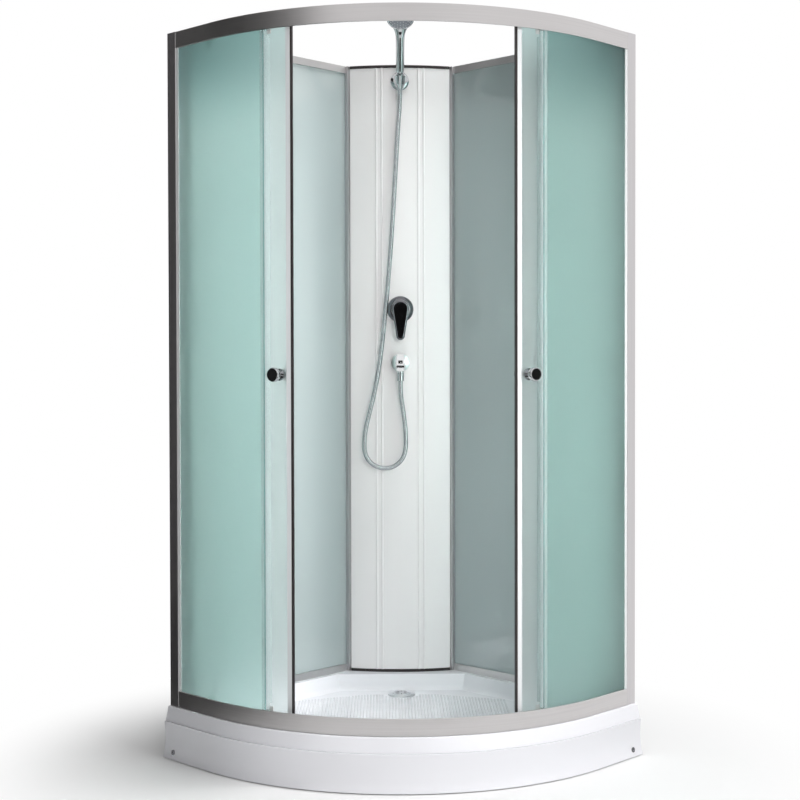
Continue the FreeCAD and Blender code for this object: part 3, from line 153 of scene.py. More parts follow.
def glow_towards(axis, start, stop, most):
    """Light that grows towards one direction of the room."""
    dot = room.nodes.new("ShaderNodeVectorMath")
    dot.operation = "DOT_PRODUCT"
    dot.inputs[1].default_value = axis
    room.links.new(room.nodes.new("ShaderNodeTexCoord").outputs["Generated"], dot.inputs[0])
    return eased(room, dot.outputs["Value"], start, stop, FAINT_GLOW, most)


glow = glow_towards(SIDE, 0.0, 0.7, 0.32)
for glow_side in ((-OUT, 0.2, 0.8, 0.45), (UP, 0.45, 0.95, 0.55), (OUT, 0.6, 0.97, 0.3)):
    glow = math_node(room, "MAXIMUM", glow, glow_towards(*glow_side))
dim_room = room.nodes.new("ShaderNodeBackground")
room.links.new(glow, dim_room.inputs["Strength"])
paper = room.nodes.new("ShaderNodeBackground")
paper.inputs["Color"].default_value = (1, 1, 1, 1)
choose = room.nodes.new("ShaderNodeMixShader")
room.links.new(looked_at(room), choose.inputs["Fac"])
room.links.new(dim_room.outputs[0], choose.inputs[1])
room.links.new(paper.outputs[0], choose.inputs[2])
room.links.new(choose.outputs[0], room.nodes.new("ShaderNodeOutputWorld").inputs["Surface"])
print("world ready")

# %% [markdown]
# ## Lamps
# Three soft boxes do most of the lighting. Small lamps would give hard edges to every shadow, so each is
# about as large as a door. The high one shines down through the open top onto the tray. The one beside
# the camera reaches the column through the open doorway, and the one on the right reaches only the left
# wall, so the right wall stays in shade. A grid in front of a real box narrows its beam, and the spread
# does the same for these last two. All are kept out of mirrors, where they would burn white patches into
# the brushed metal.

# %% Soft boxes


def soft_box(name, place, target, width, height, power, spread):
    panel = bpy.data.lights.new(name, "AREA")
    panel.shape = "RECTANGLE"
    panel.size, panel.size_y, panel.energy = width, height, power
    panel.spread = math.radians(spread)
    lamp = bpy.data.objects.new(name, panel)
    bpy.context.scene.collection.objects.link(lamp)
    lamp.location = place
    lamp.rotation_euler = (target - place).to_track_quat("-Z", "Y").to_euler()
    lamp.visible_glossy = False


soft_box("high_box", spot(0.9, 1.3, 6.5), spot(0.5, 0, 0.1), 2.0, 2.0, 320, 180)
soft_box("camera_box", spot(4.0, 0.5, 1.6), spot(0.3, 0, 1.25), 1.0, 1.4, 5.6, 60)
soft_box("doorway_box", spot(3.0, 2.0, 1.3), spot(0.45, -0.45, 1.05), 0.6, 1.6, 8.0, 60)
print("three soft boxes")

# %% [markdown]
# ## Dark cards
# Bright metal needs something dark to mirror, or it looks like white paint. Photographers put black cards
# just out of the picture. Here one stands on the left, so the left post comes out darker than the right
# one. One stands where the camera is, for the flat faces of the mixer. Two lie on the floor, in front and
# on the left, and a small one stands on the right, for the knobs. They show only in mirror rays, so they
# neither block a lamp nor appear from any side.

# %% Cards
card_black = bpy.data.materials.new("card_black")
card_black.use_nodes = True
tree = card_black.node_tree
tree.nodes.remove(tree.nodes["Principled BSDF"])
nothing = tree.nodes.new("ShaderNodeBsdfTransparent")
black = tree.nodes.new("ShaderNodeEmission")
black.inputs["Color"].default_value = (0.02, 0.02, 0.02, 1)
pick = tree.nodes.new("ShaderNodeMixShader")
tree.links.new(tree.nodes.new("ShaderNodeLightPath").outputs["Is Glossy Ray"], pick.inputs["Fac"])
tree.links.new(nothing.outputs[0], pick.inputs[1])
tree.links.new(black.outputs[0], pick.inputs[2])
tree.links.new(pick.outputs[0], tree.nodes["Material Output"].inputs["Surface"])


def studio_piece(name, form, made):
    mesh = bpy.data.meshes.new(name)
    form.to_mesh(mesh)
    form.free()
    mesh.materials.append(made)
    piece = bpy.data.objects.new(name, mesh)
    bpy.context.scene.collection.objects.link(piece)


def card(name, middle, across, along, width, height):
    form = bmesh.new()
    stand = Matrix((across, along, across.cross(along))).transposed().to_4x4()
    placed = Matrix.Translation(middle) @ stand @ Matrix.Diagonal((width / 2, height / 2, 1, 1))
    bmesh.ops.create_grid(form, x_segments=1, y_segments=1, size=1, matrix=placed)
    studio_piece(name, form, card_black)


card("left_card", spot(1.5, -2.3, 1.5), OUT, UP, 3.6, 3.8)
card("camera_card", spot(4.3, 0, 1.30), SIDE, UP, 1.8, 1.3)
card("front_floor_card", spot(2.9, 0, 0.02), SIDE, OUT, 2.2, 1.7)
card("left_floor_card", spot(1.0, -1.55, 0.02), SIDE, OUT, 1.5, 3.0)
card("right_card", spot(2.0, 2.35, 1.1), (OUT * 0.877 - SIDE * 0.48).normalized(), UP, 1.0, 1.2)
print("five dark cards")

# %% [markdown]
# ## Floor
# A pale sheet of paper lies under the cabin. A large plane would show a horizon. So the sheet is a disc:
# close to the cabin it is ordinary paper and keeps the shadow, and further out it fades to the same white
# as the world, but only for what is looked at, so it adds no light.

# %% Floor
FLOOR_RADIUS, FLOOR_SIDES, FLOOR_BELOW = 6, 96, 0.0005
FADE_START, FADE_STOP = 0.55, 1.2
floor_paper = bpy.data.materials.new("floor_paper")
floor_paper.use_nodes = True
tree = floor_paper.node_tree
shader = tree.nodes["Principled BSDF"]
shader.inputs["Base Color"].default_value = (0.80, 0.80, 0.80, 1)
shader.inputs["Roughness"].default_value = 0.7
shader.inputs["Specular IOR Level"].default_value = 0.1
reach = tree.nodes.new("ShaderNodeVectorMath")
reach.operation = "LENGTH"
tree.links.new(tree.nodes.new("ShaderNodeTexCoord").outputs["Object"], reach.inputs[0])
fade = eased(tree, reach.outputs["Value"], FADE_START, FADE_STOP)
blend_in = tree.nodes.new("ShaderNodeMixShader")
tree.links.new(math_node(tree, "MULTIPLY", fade, looked_at(tree)), blend_in.inputs["Fac"])
tree.links.new(shader.outputs[0], blend_in.inputs[1])
tree.links.new(tree.nodes.new("ShaderNodeEmission").outputs[0], blend_in.inputs[2])
tree.links.new(blend_in.outputs[0], tree.nodes["Material Output"].inputs["Surface"])
form = bmesh.new()
bmesh.ops.create_circle(form, cap_ends=True, segments=FLOOR_SIDES, radius=FLOOR_RADIUS,
                        matrix=Matrix.Translation(-UP * FLOOR_BELOW))
studio_piece("floor", form, floor_paper)
print("floor ready")

# %% [markdown]
# ## Shared effects
# No real surface is one flat colour. Painting every piece would take images, so two node groups do it for
# nearly every finish: one lets the tone drift slowly over the piece, the other gives a fine grain for the
# roughness and for bumps. Both read Object coordinates, and a long thin scale turns the grain into the
# drawn lines of a metal profile.

# %% Slow tone


def new_group(name, inputs, outputs):
    group = bpy.data.node_groups.new(name, "ShaderNodeTree")
    for label, kind, start in inputs:
        socket = group.interface.new_socket(label, in_out="INPUT", socket_type=kind)
        socket.default_value = start
    for label, kind in outputs:
        group.interface.new_socket(label, in_out="OUTPUT", socket_type=kind)
    return group, group.nodes.new("NodeGroupInput"), group.nodes.new("NodeGroupOutput")


def scaled_noise(group, source, detail):
    """Noise in object space, stretched by the group's Scale."""
    stretch = group.nodes.new("ShaderNodeVectorMath")
    stretch.operation = "MULTIPLY"
    group.links.new(group.nodes.new("ShaderNodeTexCoord").outputs["Object"], stretch.inputs[0])
    group.links.new(source.outputs["Scale"], stretch.inputs[1])
    noise = group.nodes.new("ShaderNodeTexNoise")
    noise.inputs["Scale"].default_value = 1
    noise.inputs["Detail"].default_value = detail
    group.links.new(stretch.outputs["Vector"], noise.inputs["Vector"])
    return noise.outputs["Fac"]


tone_group, source, result = new_group("slow_tone", [
    ("Scale", "NodeSocketVector", (3, 3, 3)), ("Dark", "NodeSocketColor", (0.5, 0.5, 0.5, 1)),
    ("Light", "NodeSocketColor", (0.8, 0.8, 0.8, 1))], [("Color", "NodeSocketColor")])
mix = tone_group.nodes.new("ShaderNodeMix")
mix.data_type = "RGBA"
tone_group.links.new(scaled_noise(tone_group, source, 3), mix.inputs["Factor"])
tone_group.links.new(source.outputs["Dark"], mix.inputs["A"])
tone_group.links.new(source.outputs["Light"], mix.inputs["B"])
tone_group.links.new(mix.outputs["Result"], result.inputs["Color"])
print("group", tone_group.name)

# %% Fine grain
grain_group, source, result = new_group("fine_grain", [
    ("Scale", "NodeSocketVector", (400, 400, 400)), ("Low", "NodeSocketFloat", 0.2),
    ("High", "NodeSocketFloat", 0.4)], [("Roughness", "NodeSocketFloat"), ("Height", "NodeSocketFloat")])
grain = scaled_noise(grain_group, source, 2)
ramp = grain_group.nodes.new("ShaderNodeMapRange")
ramp.inputs["From Min"].default_value = 0.3
ramp.inputs["From Max"].default_value = 0.7
grain_group.links.new(grain, ramp.inputs["Value"])
grain_group.links.new(source.outputs["Low"], ramp.inputs["To Min"])
grain_group.links.new(source.outputs["High"], ramp.inputs["To Max"])
grain_group.links.new(ramp.outputs["Result"], result.inputs["Roughness"])
grain_group.links.new(grain, result.inputs["Height"])
print("group", grain_group.name)

# %% [markdown]
# ## Putting a finish together
# More than twenty finishes made by hand would be the same nodes over and over. One function links the
# slow tone to the colour, and the grain to the roughness and, where the surface is not quite smooth, to a
# bump. Numbers that are the same all over the piece are set straight on the shader.

# %% Finish maker
BUMP_DEPTH = 0.0004


def finish(name, dark, light, tone_scale, grain_scale, rough, bump=0.0, **plain):
    made = bpy.data.materials.new(name)
    made.use_nodes = True
    tree = made.node_tree
    shader = tree.nodes["Principled BSDF"]
    for socket, number in plain.items():
        shader.inputs[socket.replace("_", " ")].default_value = number
    tone = tree.nodes.new("ShaderNodeGroup")
    tone.node_tree = tone_group
    tone.inputs["Scale"].default_value = tone_scale
    tone.inputs["Dark"].default_value = (*dark, 1)
    tone.inputs["Light"].default_value = (*light, 1)
    tree.links.new(tone.outputs["Color"], shader.inputs["Base Color"])
    grain = tree.nodes.new("ShaderNodeGroup")
    grain.node_tree = grain_group
    grain.inputs["Scale"].default_value = grain_scale
    grain.inputs["Low"].default_value, grain.inputs["High"].default_value = rough
    tree.links.new(grain.outputs["Roughness"], shader.inputs["Roughness"])
    if bump:
        relief = tree.nodes.new("ShaderNodeBump")
        relief.inputs["Strength"].default_value = bump
        relief.inputs["Distance"].default_value = BUMP_DEPTH
        tree.links.new(grain.outputs["Height"], relief.inputs["Height"])
        tree.links.new(relief.outputs["Normal"], shader.inputs["Normal"])
    return made


def dress(made, *names):
    for name in names:
        nodes[name].data.materials.clear()
        nodes[name].data.materials.append(made)
    print(made.name, "on", len(names), "nodes")


def both(*names):
    return [f"{side}_{name}" for side in ("left", "right") for name in names]


print("finish maker ready")

# %% [markdown]
# ## Tray and frame
# The tray is glossy white acrylic with a cool cast, formed over a mould, so its gloss is nearly even
# under a clear top layer. The rails and posts are extruded aluminium with a satin anodised skin.
# Extrusion leaves fine lines along the profile: the rails' grain changes mostly with height, and the
# posts' grain mostly across them.

# %% Tray and frame
acrylic = finish("white_acrylic", (0.80, 0.80, 0.84), (0.85, 0.85, 0.88), (2, 2, 5), (30, 30, 30),
                 (0.14, 0.22), 0.02, Coat_Weight=0.25, Coat_Roughness=0.06)
dress(acrylic, "tray", "front_apron")
rail_metal = finish("rail_aluminium", (0.60, 0.58, 0.58), (0.70, 0.68, 0.68), (3, 3, 300),
                    (300, 300, 1500), (0.34, 0.46), 0.08, Metallic=1.0)
dress(rail_metal, "top_rail", "bottom_rail", *both("wall_trims"))
post_metal = finish("post_aluminium", (0.60, 0.58, 0.59), (0.70, 0.68, 0.69), (300, 300, 3),
                    (1500, 1500, 300), (0.34, 0.46), 0.08, Metallic=1.0)
dress(post_metal, *both("post", "column_trim"))
bead = finish("pale_bead", (0.70, 0.73, 0.73), (0.82, 0.84, 0.84), (60, 60, 2), (300, 300, 20),
              (0.3, 0.4), 0.02)
dress(bead, *both("post_bead"))

# %% [markdown]
# ## Glass
# The front panes are satin-etched with a sea-green cast: light passes but is scattered. A mix with plain
# white would only look like paint, so the scatter comes from rough transmission, with a low index that
# keeps two panes in a row from swallowing the light. The panes' colour deepens towards the top, the doors
# are a paler glass than the fixed panes, and where a fixed pane ends its cut edge is deep green. The wall
# panes are smooth, tinted and milky, with painted shade deepening their colour towards the wall corner.
# All of this is read from Object coordinates, so it stays with the pane.

# %% Shading a finish by place


def deepened(made, value_of, start, stop, deep):
    """Deepens a finish's colour while a value read from the Object coordinates goes from start to stop."""
    tree = made.node_tree
    colour = tree.nodes["Principled BSDF"].inputs["Base Color"]
    split = tree.nodes.new("ShaderNodeSeparateXYZ")
    tree.links.new(tree.nodes.new("ShaderNodeTexCoord").outputs["Object"], split.inputs[0])
    mix = tree.nodes.new("ShaderNodeMix")
    mix.data_type = "RGBA"
    mix.inputs["B"].default_value = (*deep, 1)
    tree.links.new(eased(tree, value_of(tree, split.outputs), start, stop), mix.inputs["Factor"])
    tree.links.new(colour.links[0].from_socket, mix.inputs["A"])
    tree.links.new(mix.outputs["Result"], colour)


def height(tree, axes):
    return axes["Z"]


def from_corner(tree, axes):
    """How far out a wall pane's point is, along either wall."""
    return math_node(tree, "MAXIMUM", axes["X"], math_node(tree, "MULTIPLY", axes["Y"], -1.0))


CUT_EDGE = math.radians(30.4)


def from_cut_edge(tree, axes):
    """How far a fixed pane's point is from the pane's free edge, on either side of the diagonal."""
    side = math_node(tree, "ABSOLUTE", math_node(tree, "ADD", axes["X"], axes["Y"]))
    out = math_node(tree, "SUBTRACT", math_node(tree, "SUBTRACT", axes["X"], axes["Y"]),
                    math.sqrt(2) * ARC_CENTRE_OUT - 2 * CORNER.y)
    return math_node(tree, "SUBTRACT", math_node(tree, "MULTIPLY", side, math.cos(CUT_EDGE) / math.sqrt(2)),
                     math_node(tree, "MULTIPLY", out, math.sin(CUT_EDGE) / math.sqrt(2)))


print("helpers for shading by place")

# %% Glass
frosted = finish("frosted_glass", (0.78, 0.95, 0.92), (0.84, 0.98, 0.95), (9, 9, 0.5), (900, 900, 900),
                 (0.70, 0.82), 0.05, Transmission_Weight=0.97, IOR=1.2)
pale_frosted = finish("pale_frosted_glass", (0.91, 0.97, 0.96), (0.95, 0.99, 0.98), (9, 9, 0.5),
                      (900, 900, 900), (0.70, 0.82), 0.05, Transmission_Weight=0.92, IOR=1.2)
tinted = finish("tinted_glass", (0.53, 0.60, 0.60), (0.59, 0.65, 0.65), (3, 3, 1), (12, 12, 12),
                (0.03, 0.07), Transmission_Weight=0.15, IOR=1.5, Coat_Weight=1.0, Coat_Roughness=0.02)
# The frosted panes' colour deepens towards the top, between these two heights.
TOP_DEEPENS_FROM, TOP_DEEPENS_TO = 1.62, 1.92
GREEN_EDGE_ENDS, GREEN_EDGE_FULL = 0.0016, 0.0004
# Painted shade: the wall panes' colour deepens between these distances towards the wall corner.
PAINTED_CORNER_SHADE_ENDS, PAINTED_CORNER_SHADE_FULL = 0.25, -0.30
deepened(frosted, height, TOP_DEEPENS_FROM, TOP_DEEPENS_TO, (0.56, 0.71, 0.70))
deepened(frosted, from_cut_edge, GREEN_EDGE_ENDS, GREEN_EDGE_FULL, (0.08, 0.36, 0.36))
deepened(pale_frosted, height, TOP_DEEPENS_FROM, TOP_DEEPENS_TO, (0.56, 0.70, 0.69))
# Painted corner shade on the wall panes.
deepened(tinted, from_corner, PAINTED_CORNER_SHADE_ENDS, PAINTED_CORNER_SHADE_FULL, (0.44, 0.51, 0.51))
dress(frosted, *both("fixed_glass"))
dress(pale_frosted, *both("door_glass"))
dress(tinted, *both("wall_glass"))

# %% [markdown]
# ## Seals and strips
# Soft plastic closes the gaps: clear fins between the panes, a pale profile along each door's edge, and a
# dark strip on it that holds the magnets. Clear plastic in such thin folds would show a tangle of bright
# and dark streaks, so its index is set low, which keeps the folds from acting as lenses.

# %% Seals and strips
clear_seal = finish("clear_seal", (0.88, 0.95, 0.95), (0.94, 0.98, 0.98), (6, 6, 1), (60, 60, 4),
                    (0.15, 0.25), Transmission_Weight=0.85, IOR=1.08)
dress(clear_seal, *both("fixed_seal", "rear_seal"))
pale_seal = finish("pale_seal", (0.68, 0.70, 0.71), (0.78, 0.79, 0.80), (6, 6, 1), (60, 60, 4),
                   (0.30, 0.40))
dress(pale_seal, *both("door_seal"))
rubber = finish("dark_rubber", (0.012, 0.009, 0.010), (0.03, 0.022, 0.022), (50, 50, 4), (600, 600, 600),
                (0.4, 0.55), 0.08)
dress(rubber, *both("door_magnet"), "column_top_strip", "column_bottom_strip")

# %% [markdown]
# ## Column and fittings
# The column is pale silver foil on plastic, with its grain drawn upwards. The fittings are chrome plate
# with faint smears in the gloss. Chrome could be one mirror for all, but two copies carry painted
# reflections: the mixer's plate and lever are darker, a painted dark reflection, and the water outlet is
# the brightest piece, a painted bright reflection. So there are three of them.

# %% Column and chrome
silver = finish("column_silver", (0.90, 0.87, 0.87), (0.94, 0.91, 0.91), (12, 12, 1), (700, 700, 30),
                (0.28, 0.40), 0.03, Coat_Weight=0.15, Coat_Roughness=0.15)
dress(silver, "column_panel")
chrome = finish("chrome", (0.48, 0.49, 0.51), (0.62, 0.63, 0.64), (20, 20, 20), (60, 60, 60),
                (0.04, 0.10), Metallic=1.0)
dress(chrome, *both("outer_knob", "inner_knob"), "hose_nut", "hose_cone", "shower_holder")
# A brighter copy of chrome: a painted bright reflection on the water outlet.
chrome_with_painted_bright_reflection = finish("chrome_with_painted_bright_reflection", (0.74, 0.75, 0.76), (0.84, 0.85, 0.86), (20, 20, 20),
                       (60, 60, 60), (0.06, 0.14), Metallic=1.0)
dress(chrome_with_painted_bright_reflection, "outlet_elbow")
# A darker copy of chrome: a painted dark reflection on the mixer's plate and lever, also used on the apron
# screws.
chrome_with_painted_dark_reflection = finish("chrome_with_painted_dark_reflection", (0.16, 0.16, 0.17), (0.24, 0.24, 0.26), (30, 30, 30), (60, 60, 60),
                     (0.05, 0.12), Metallic=1.0)
dress(chrome_with_painted_dark_reflection, "mixer_escutcheon", "mixer_lever", "apron_screws")
steel = finish("drain_steel", (0.74, 0.74, 0.77), (0.86, 0.86, 0.88), (60, 60, 60), (900, 900, 900),
               (0.25, 0.4), 0.04, Metallic=1.0)
dress(steel, "drain_strainer")
spray_grey = finish("spray_grey", (0.22, 0.23, 0.26), (0.30, 0.31, 0.34), (40, 40, 40), (700, 700, 700),
                    (0.35, 0.45), 0.06)
dress(spray_grey, "spray_plate")

# %% [markdown]
# ## What stays behind
# Behind the column and under the tray everything is plain: cast brass for the mixer's body, copper for
# the pipe, zinc-coated steel for the frame and feet, grey pipe for the trap, white plastic for the door
# rollers. They are seen from the back and from below, so each still has its own colour, gloss and grain.

# %% Brass, copper, zinc and plastic
brass = finish("brass", (0.52, 0.38, 0.16), (0.66, 0.50, 0.24), (40, 40, 40), (500, 500, 500), (0.3, 0.5),
               0.08, Metallic=1.0)
dress(brass, "mixer_body", "mixer_spindle")
copper = finish("copper", (0.60, 0.30, 0.18), (0.72, 0.40, 0.26), (40, 40, 8), (300, 300, 40),
                (0.25, 0.4), 0.03, Metallic=1.0)
dress(copper, "outlet_pipe")
plastic = finish("white_plastic", (0.78, 0.78, 0.76), (0.87, 0.87, 0.86), (60, 60, 60), (500, 500, 500),
                 (0.32, 0.45), 0.05)
dress(plastic, *both("hangers"), *[name for name in nodes if name.endswith("_wheel")])
zinc = finish("zinc_steel", (0.42, 0.43, 0.45), (0.62, 0.63, 0.64), (35, 35, 35), (200, 200, 200),
              (0.35, 0.55), 0.06, Metallic=1.0)
dress(zinc, "tray_frame", "tray_feet")
pipe_grey = finish("pipe_grey", (0.52, 0.53, 0.54), (0.62, 0.63, 0.64), (30, 30, 30), (400, 400, 400),
                   (0.4, 0.55), 0.05)
dress(pipe_grey, "drain_trap")

# %% [markdown]
# ## Hose line
# The hose hangs from the outlet in a loop and climbs to the holder. A line of straight runs with rounded
# corners would look like bent wire. So the route that the solid follows is given to one smooth spline as
# its control points, and the line is read back from that spline.

# %% Hose line
HOSE_ROUTE = [
    (0.032, 0, 1.000), (0.032, 0, 0.962), (0.032, 0.008, 0.912), (0.0315, 0.0156, 0.850),
    (0.031, 0.015, 0.7797), (0.0305, -0.0207, 0.744), (0.0305, -0.0713, 0.744), (0.031, -0.107, 0.7797),
    (0.031, -0.106, 0.845), (0.0315, -0.092, 0.905), (0.032, -0.074, 0.975), (0.032, -0.058, 1.0702),
    (0.032, -0.045, 1.1903), (0.031, -0.033, 1.3201), (0.027, -0.022, 1.4703), (0.021, -0.013, 1.6206),
    (0.017, -0.0055, 1.7504), (0.016417, 0, 1.81656), (0.035012, 0, 1.85644),
]
line = bpy.data.curves.new("hose_line", "CURVE")
line.dimensions = "3D"
line.resolution_u = 24
spline = line.splines.new("NURBS")
spline.points.add(len(HOSE_ROUTE) - 1)
for point, (standoff, across, rise) in zip(spline.points, HOSE_ROUTE):
    point.co = (*spot(COLUMN_FRONT + standoff, across, rise), 1)
spline.order_u = 3
spline.use_endpoint_u = True
guide = bpy.data.objects.new("hose_line", line)
bpy.context.scene.collection.objects.link(guide)
hose_path = [v.co.copy() for v in bpy.data.meshes.new_from_object(guide).vertices]
bpy.data.objects.remove(guide)
print("hose line", len(hose_path), "points,",
      round(sum((b - a).length for a, b in zip(hose_path, hose_path[1:])), 3), "m")

# %% [markdown]
# ## Drawing a tube
# A bevelled curve gives a tube with one section all along, and the hand shower needs a round handle and a
# flat head. Extruding a ring of edges and moving the new ring with one matrix is how a tube is drawn by
# hand, and each ring may have its own width and thickness. The same helper draws the hose first and the
# hand shower later.

# %% Tube helpers


def ring_matrix(place, ahead, sideways, wide, thick):
    """Puts a unit circle at a place, square to ahead, stretched sideways and the other way."""
    across = (sideways - ahead * sideways.dot(ahead)).normalized()
    turned = Matrix((across, ahead.cross(across), ahead)).transposed().to_4x4()
    return Matrix.Translation(place) @ turned @ Matrix.Diagonal((wide, thick, 1, 1))


def drawn_tube(form, rings, sides):
    """Extrudes a circle from each ring's matrix to the next, and closes both ends."""
    bmesh.ops.create_circle(form, cap_ends=True, segments=sides, radius=1, matrix=rings[0])
    edges = form.edges[:]
    for before, after in zip(rings, rings[1:]):
        grown = bmesh.ops.extrude_edge_only(form, edges=edges)["geom"]
        verts = [part for part in grown if isinstance(part, bmesh.types.BMVert)]
        fresh = set(verts)
        edges = [part for part in grown if isinstance(part, bmesh.types.BMEdge)]
        edges = [edge for edge in edges if fresh.issuperset(edge.verts)]
        bmesh.ops.transform(form, matrix=after @ before.inverted(), verts=verts)
    bmesh.ops.edgeloop_fill(form, edges=edges)
    bmesh.ops.recalc_face_normals(form, faces=form.faces)
    for face in form.faces:
        face.smooth = True


def new_piece(name, form, made, body=None, node=None):
    """Turns a finished bmesh into a piece that rides on a body, and may replace a node."""
    mesh = bpy.data.meshes.new(name)
    form.to_mesh(mesh)
    form.free()
    mesh.materials.append(made)
    piece = bpy.data.objects.new(name, mesh)
    bpy.context.scene.collection.objects.link(piece)
    if body:
        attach(piece, body)
    if node:
        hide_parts(node)
    print(name, len(mesh.polygons), "faces")
    return piece


print("tube helpers ready")

# %% [markdown]
# ## Hose winding
# The hose is a strip of metal wound round a soft tube, so its surface swells and dips once in each turn.
# A bump would vanish at the outline, where the light catches a hose most. So the ring grows and shrinks
# as it goes along the line, four steps to a turn.

# %% Hose winding
HOSE_RADIUS, WINDING_PITCH = 0.007, 0.0036
WINDING = (0.96, 1.0, 0.96, 0.90)
HOSE_SIDES = 16


def along(path, step):
    """Places a fixed step apart on a line of points, with its direction at each."""
    gone, wanted = 0.0, 0.0
    for a, b in zip(path, path[1:]):
        run = (b - a).length
        while run and wanted <= gone + run:
            yield a.lerp(b, (wanted - gone) / run), (b - a).normalized()
            wanted += step
        gone += run


rings = []
sideways = SIDE
for place, ahead in along(hose_path, WINDING_PITCH / len(WINDING)):
    size = HOSE_RADIUS * WINDING[len(rings) % len(WINDING)]
    rings.append(ring_matrix(place, ahead, sideways, size, size))
    sideways = rings[-1].to_3x3().col[0].normalized()
form = bmesh.new()
drawn_tube(form, rings, HOSE_SIDES)
wound_steel = finish("wound_steel", (0.42, 0.43, 0.45), (0.62, 0.63, 0.64), (60, 60, 60), (300, 300, 300),
                     (0.10, 0.22), Metallic=1.0)
hose = new_piece("wound_hose", form, wound_steel, node="shower_hose")
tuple(hose_path[-1])
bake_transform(hose)
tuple(hose_path[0])

# %% [markdown]
# ## Tray floor
# The floor of the tray has a field of fine raised ribs, so that wet feet hold. They run out from the
# drain to the front, side by side, and stop where the floor starts to rise. They could be a bump, but
# their ends and tops catch the light. So each is a long box of its own length, and one bevel rounds all
# their tops together.

# %% Grip ribs
FLOOR_HEIGHT, RIB_PITCH, RIB_WIDTH, RIB_RISE, RIB_SUNK = 0.094, 0.0088, 0.0048, 0.0014, 0.001
FIELD_FRONT, FIELD_BACK, DRAIN_OUT, DRAIN_CLEAR = 0.606, 0.345, 0.33941, 0.050
RIBS_EACH_SIDE, SQUARE_BACK, BACK_SLOPE = 33, 0.10, 0.35
plan = Matrix((OUT, SIDE, UP)).transposed().to_4x4()
form = bmesh.new()
for i in range(-RIBS_EACH_SIDE, RIBS_EACH_SIDE + 1):
    across = i * RIB_PITCH
    far = ARC_CENTRE_OUT + math.sqrt(FIELD_FRONT ** 2 - across ** 2)
    near = FIELD_BACK + BACK_SLOPE * max(0.0, abs(across) - SQUARE_BACK)
    if abs(across) < DRAIN_CLEAR:
        near = max(near, DRAIN_OUT + math.sqrt(DRAIN_CLEAR ** 2 - across ** 2))
    middle = spot((near + far) / 2, across, FLOOR_HEIGHT + (RIB_RISE - RIB_SUNK) / 2)
    size = Matrix.Diagonal((far - near, RIB_WIDTH, RIB_RISE + RIB_SUNK, 1))
    bmesh.ops.create_cube(form, size=1, matrix=Matrix.Translation(middle) @ plan @ size)
tops = [edge for edge in form.edges if all(v.co.z > FLOOR_HEIGHT for v in edge.verts)]
bmesh.ops.bevel(form, geom=tops, offset=RIB_RISE, offset_type="OFFSET", segments=3, profile=0.5,
                affect="EDGES", material=-1)
bmesh.ops.recalc_face_normals(form, faces=form.faces)
for face in form.faces:
    face.smooth = True
new_piece("grip_ribs", form, acrylic, body="cabin")

# %% [markdown]
# ## Hand shower
# The handle widens into the head in one sweep. A turned handle stuck to a turned disc would show a seam,
# so the whole shell is drawn as one tube: round along the handle, then wider and flatter while it bends
# into the plane of the head. Places are millimetres in the hand shower's own frame, which leans out from
# the column.

# %% Hand shower shell
LEAN, FACE_DROP = math.radians(25), math.radians(20)
HAND_STANDOFF, HAND_HEIGHT, MILLIMETRE = 0.046, 1.880, 0.001
hand_forward = OUT * math.cos(LEAN) - UP * math.sin(LEAN)
hand_up = OUT * math.sin(LEAN) + UP * math.cos(LEAN)
hand_axes = Matrix((hand_forward, SIDE, hand_up)).transposed().to_4x4()
hand_foot = spot(COLUMN_FRONT + HAND_STANDOFF, 0, HAND_HEIGHT)
hand = Matrix.Translation(hand_foot) @ hand_axes @ Matrix.Scale(MILLIMETRE, 4)
# forward, up, bend in degrees, half width, half thickness
SHELL = [
    (0, 16, 0, 11.6, 11.6), (0, 20, 0, 11.8, 11.8), (0, 50, 0, 12.0, 12.0), (0, 85, 0, 12.3, 12.3),
    (0, 109, 0, 12.7, 12.2), (0, 123, 6, 13.4, 12.0), (-0.6, 133, 13, 14.8, 11.7),
    (0.2, 141, 18, 17.4, 11.2), (1.6, 147, 20, 20.6, 10.8), (3.8, 152.4, 20, 24.8, 10.4),
    (6.2, 158.9, 20, 30, 10), (9.0, 166.5, 20, 35.8, 9.7), (12.4, 175.9, 20, 40, 9.3),
    (15.8, 185.3, 20, 41, 9.0), (19.2, 194.7, 20, 39.8, 8.6), (22.6, 204.1, 20, 35.8, 8.0),
    (25.4, 211.6, 20, 30, 7.2), (27.2, 216.6, 20, 23.8, 6.2), (28.3, 219.8, 20, 17, 5.0),
    (29.0, 221.4, 20, 9, 3),
]
SHELL_SIDES = 32
rings = []
for forward, rise, bend, wide, thick in SHELL:
    ahead = Vector((math.sin(math.radians(bend)), 0, math.cos(math.radians(bend))))
    rings.append(ring_matrix(Vector((forward, 0, rise)), ahead, Vector((0, 1, 0)), wide, thick))
form = bmesh.new()
drawn_tube(form, rings, SHELL_SIDES)
bmesh.ops.transform(form, matrix=hand, verts=form.verts)
shell = new_piece("hand_shell", form, chrome, body="handset", node="hand_shower")
smoothing = shell.modifiers.new("smoothing", "SUBSURF")
smoothing.levels = smoothing.render_levels = 1

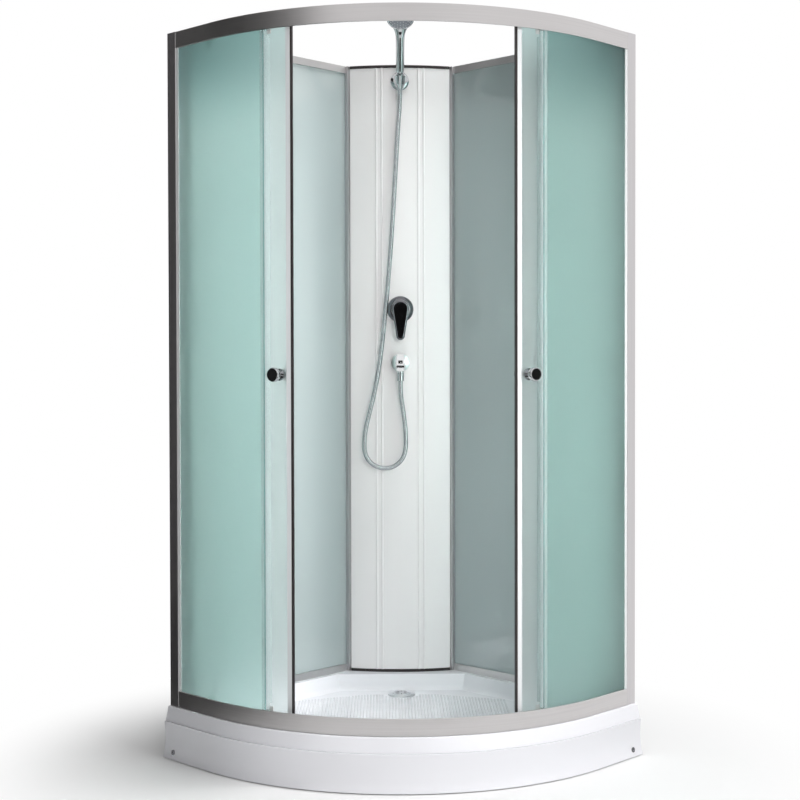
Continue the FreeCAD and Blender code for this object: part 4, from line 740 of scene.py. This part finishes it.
# %% [markdown]
# ## Spray rim and nozzles
# The spray plate sits in a bright rim and carries circles of soft nozzles. The rim could be a plain
# torus, but the real one has a flat front and a rounded outside, so a small outline is spun about the
# head's axis. Each nozzle is a short cone with few faces, because there are many.

# %% Spray rim
HEAD_FORWARD, HEAD_RISE, RIM_STEPS = 22, 183, 64
RIM_OUTLINE = [(-6, 35.4), (3.0, 35.4), (3.8, 36.4), (3.8, 38.6), (2.6, 40.4), (-1, 41.0), (-6, 40.6)]
head = hand @ Matrix.Translation((HEAD_FORWARD, 0, HEAD_RISE)) @ Matrix.Rotation(FACE_DROP, 4, "Y")
form = bmesh.new()
corners = [form.verts.new((forward, 0, size)) for forward, size in RIM_OUTLINE]
loop = [form.edges.new((a, b)) for a, b in zip(corners, corners[1:] + corners[:1])]
bmesh.ops.spin(form, geom=corners + loop, cent=(0, 0, 0), axis=(1, 0, 0), angle=math.tau,
               steps=RIM_STEPS, use_merge=True)
bmesh.ops.recalc_face_normals(form, faces=form.faces)
for face in form.faces:
    face.smooth = True
bmesh.ops.transform(form, matrix=head, verts=form.verts)
new_piece("spray_rim", form, chrome, body="handset")

# %% Spray nozzles
NOZZLE_CIRCLES = [(0, 1), (9, 6), (17, 12), (25, 18), (31.5, 24)]
NOZZLE_FOOT, NOZZLE_TIP, NOZZLE_LONG, NOZZLE_MIDDLE = 1.5, 1.0, 1.6, 4.4
NOZZLE_SIDES = 10
form = bmesh.new()
for circle, count in NOZZLE_CIRCLES:
    for k in range(count):
        angle = math.tau * k / count
        seat = Vector((NOZZLE_MIDDLE, circle * math.sin(angle), circle * math.cos(angle)))
        upright = Matrix.Translation(seat) @ Matrix.Rotation(math.pi / 2, 4, "Y")
        bmesh.ops.create_cone(form, cap_ends=True, segments=NOZZLE_SIDES, radius1=NOZZLE_FOOT,
                              radius2=NOZZLE_TIP, depth=NOZZLE_LONG, matrix=upright)
bmesh.ops.transform(form, matrix=head, verts=form.verts)
nozzle_rubber = finish("nozzle_rubber", (0.50, 0.51, 0.53), (0.60, 0.61, 0.63), (90, 90, 90),
                       (900, 900, 900), (0.45, 0.6), 0.05)
new_piece("spray_nozzles", form, nozzle_rubber, body="handset")
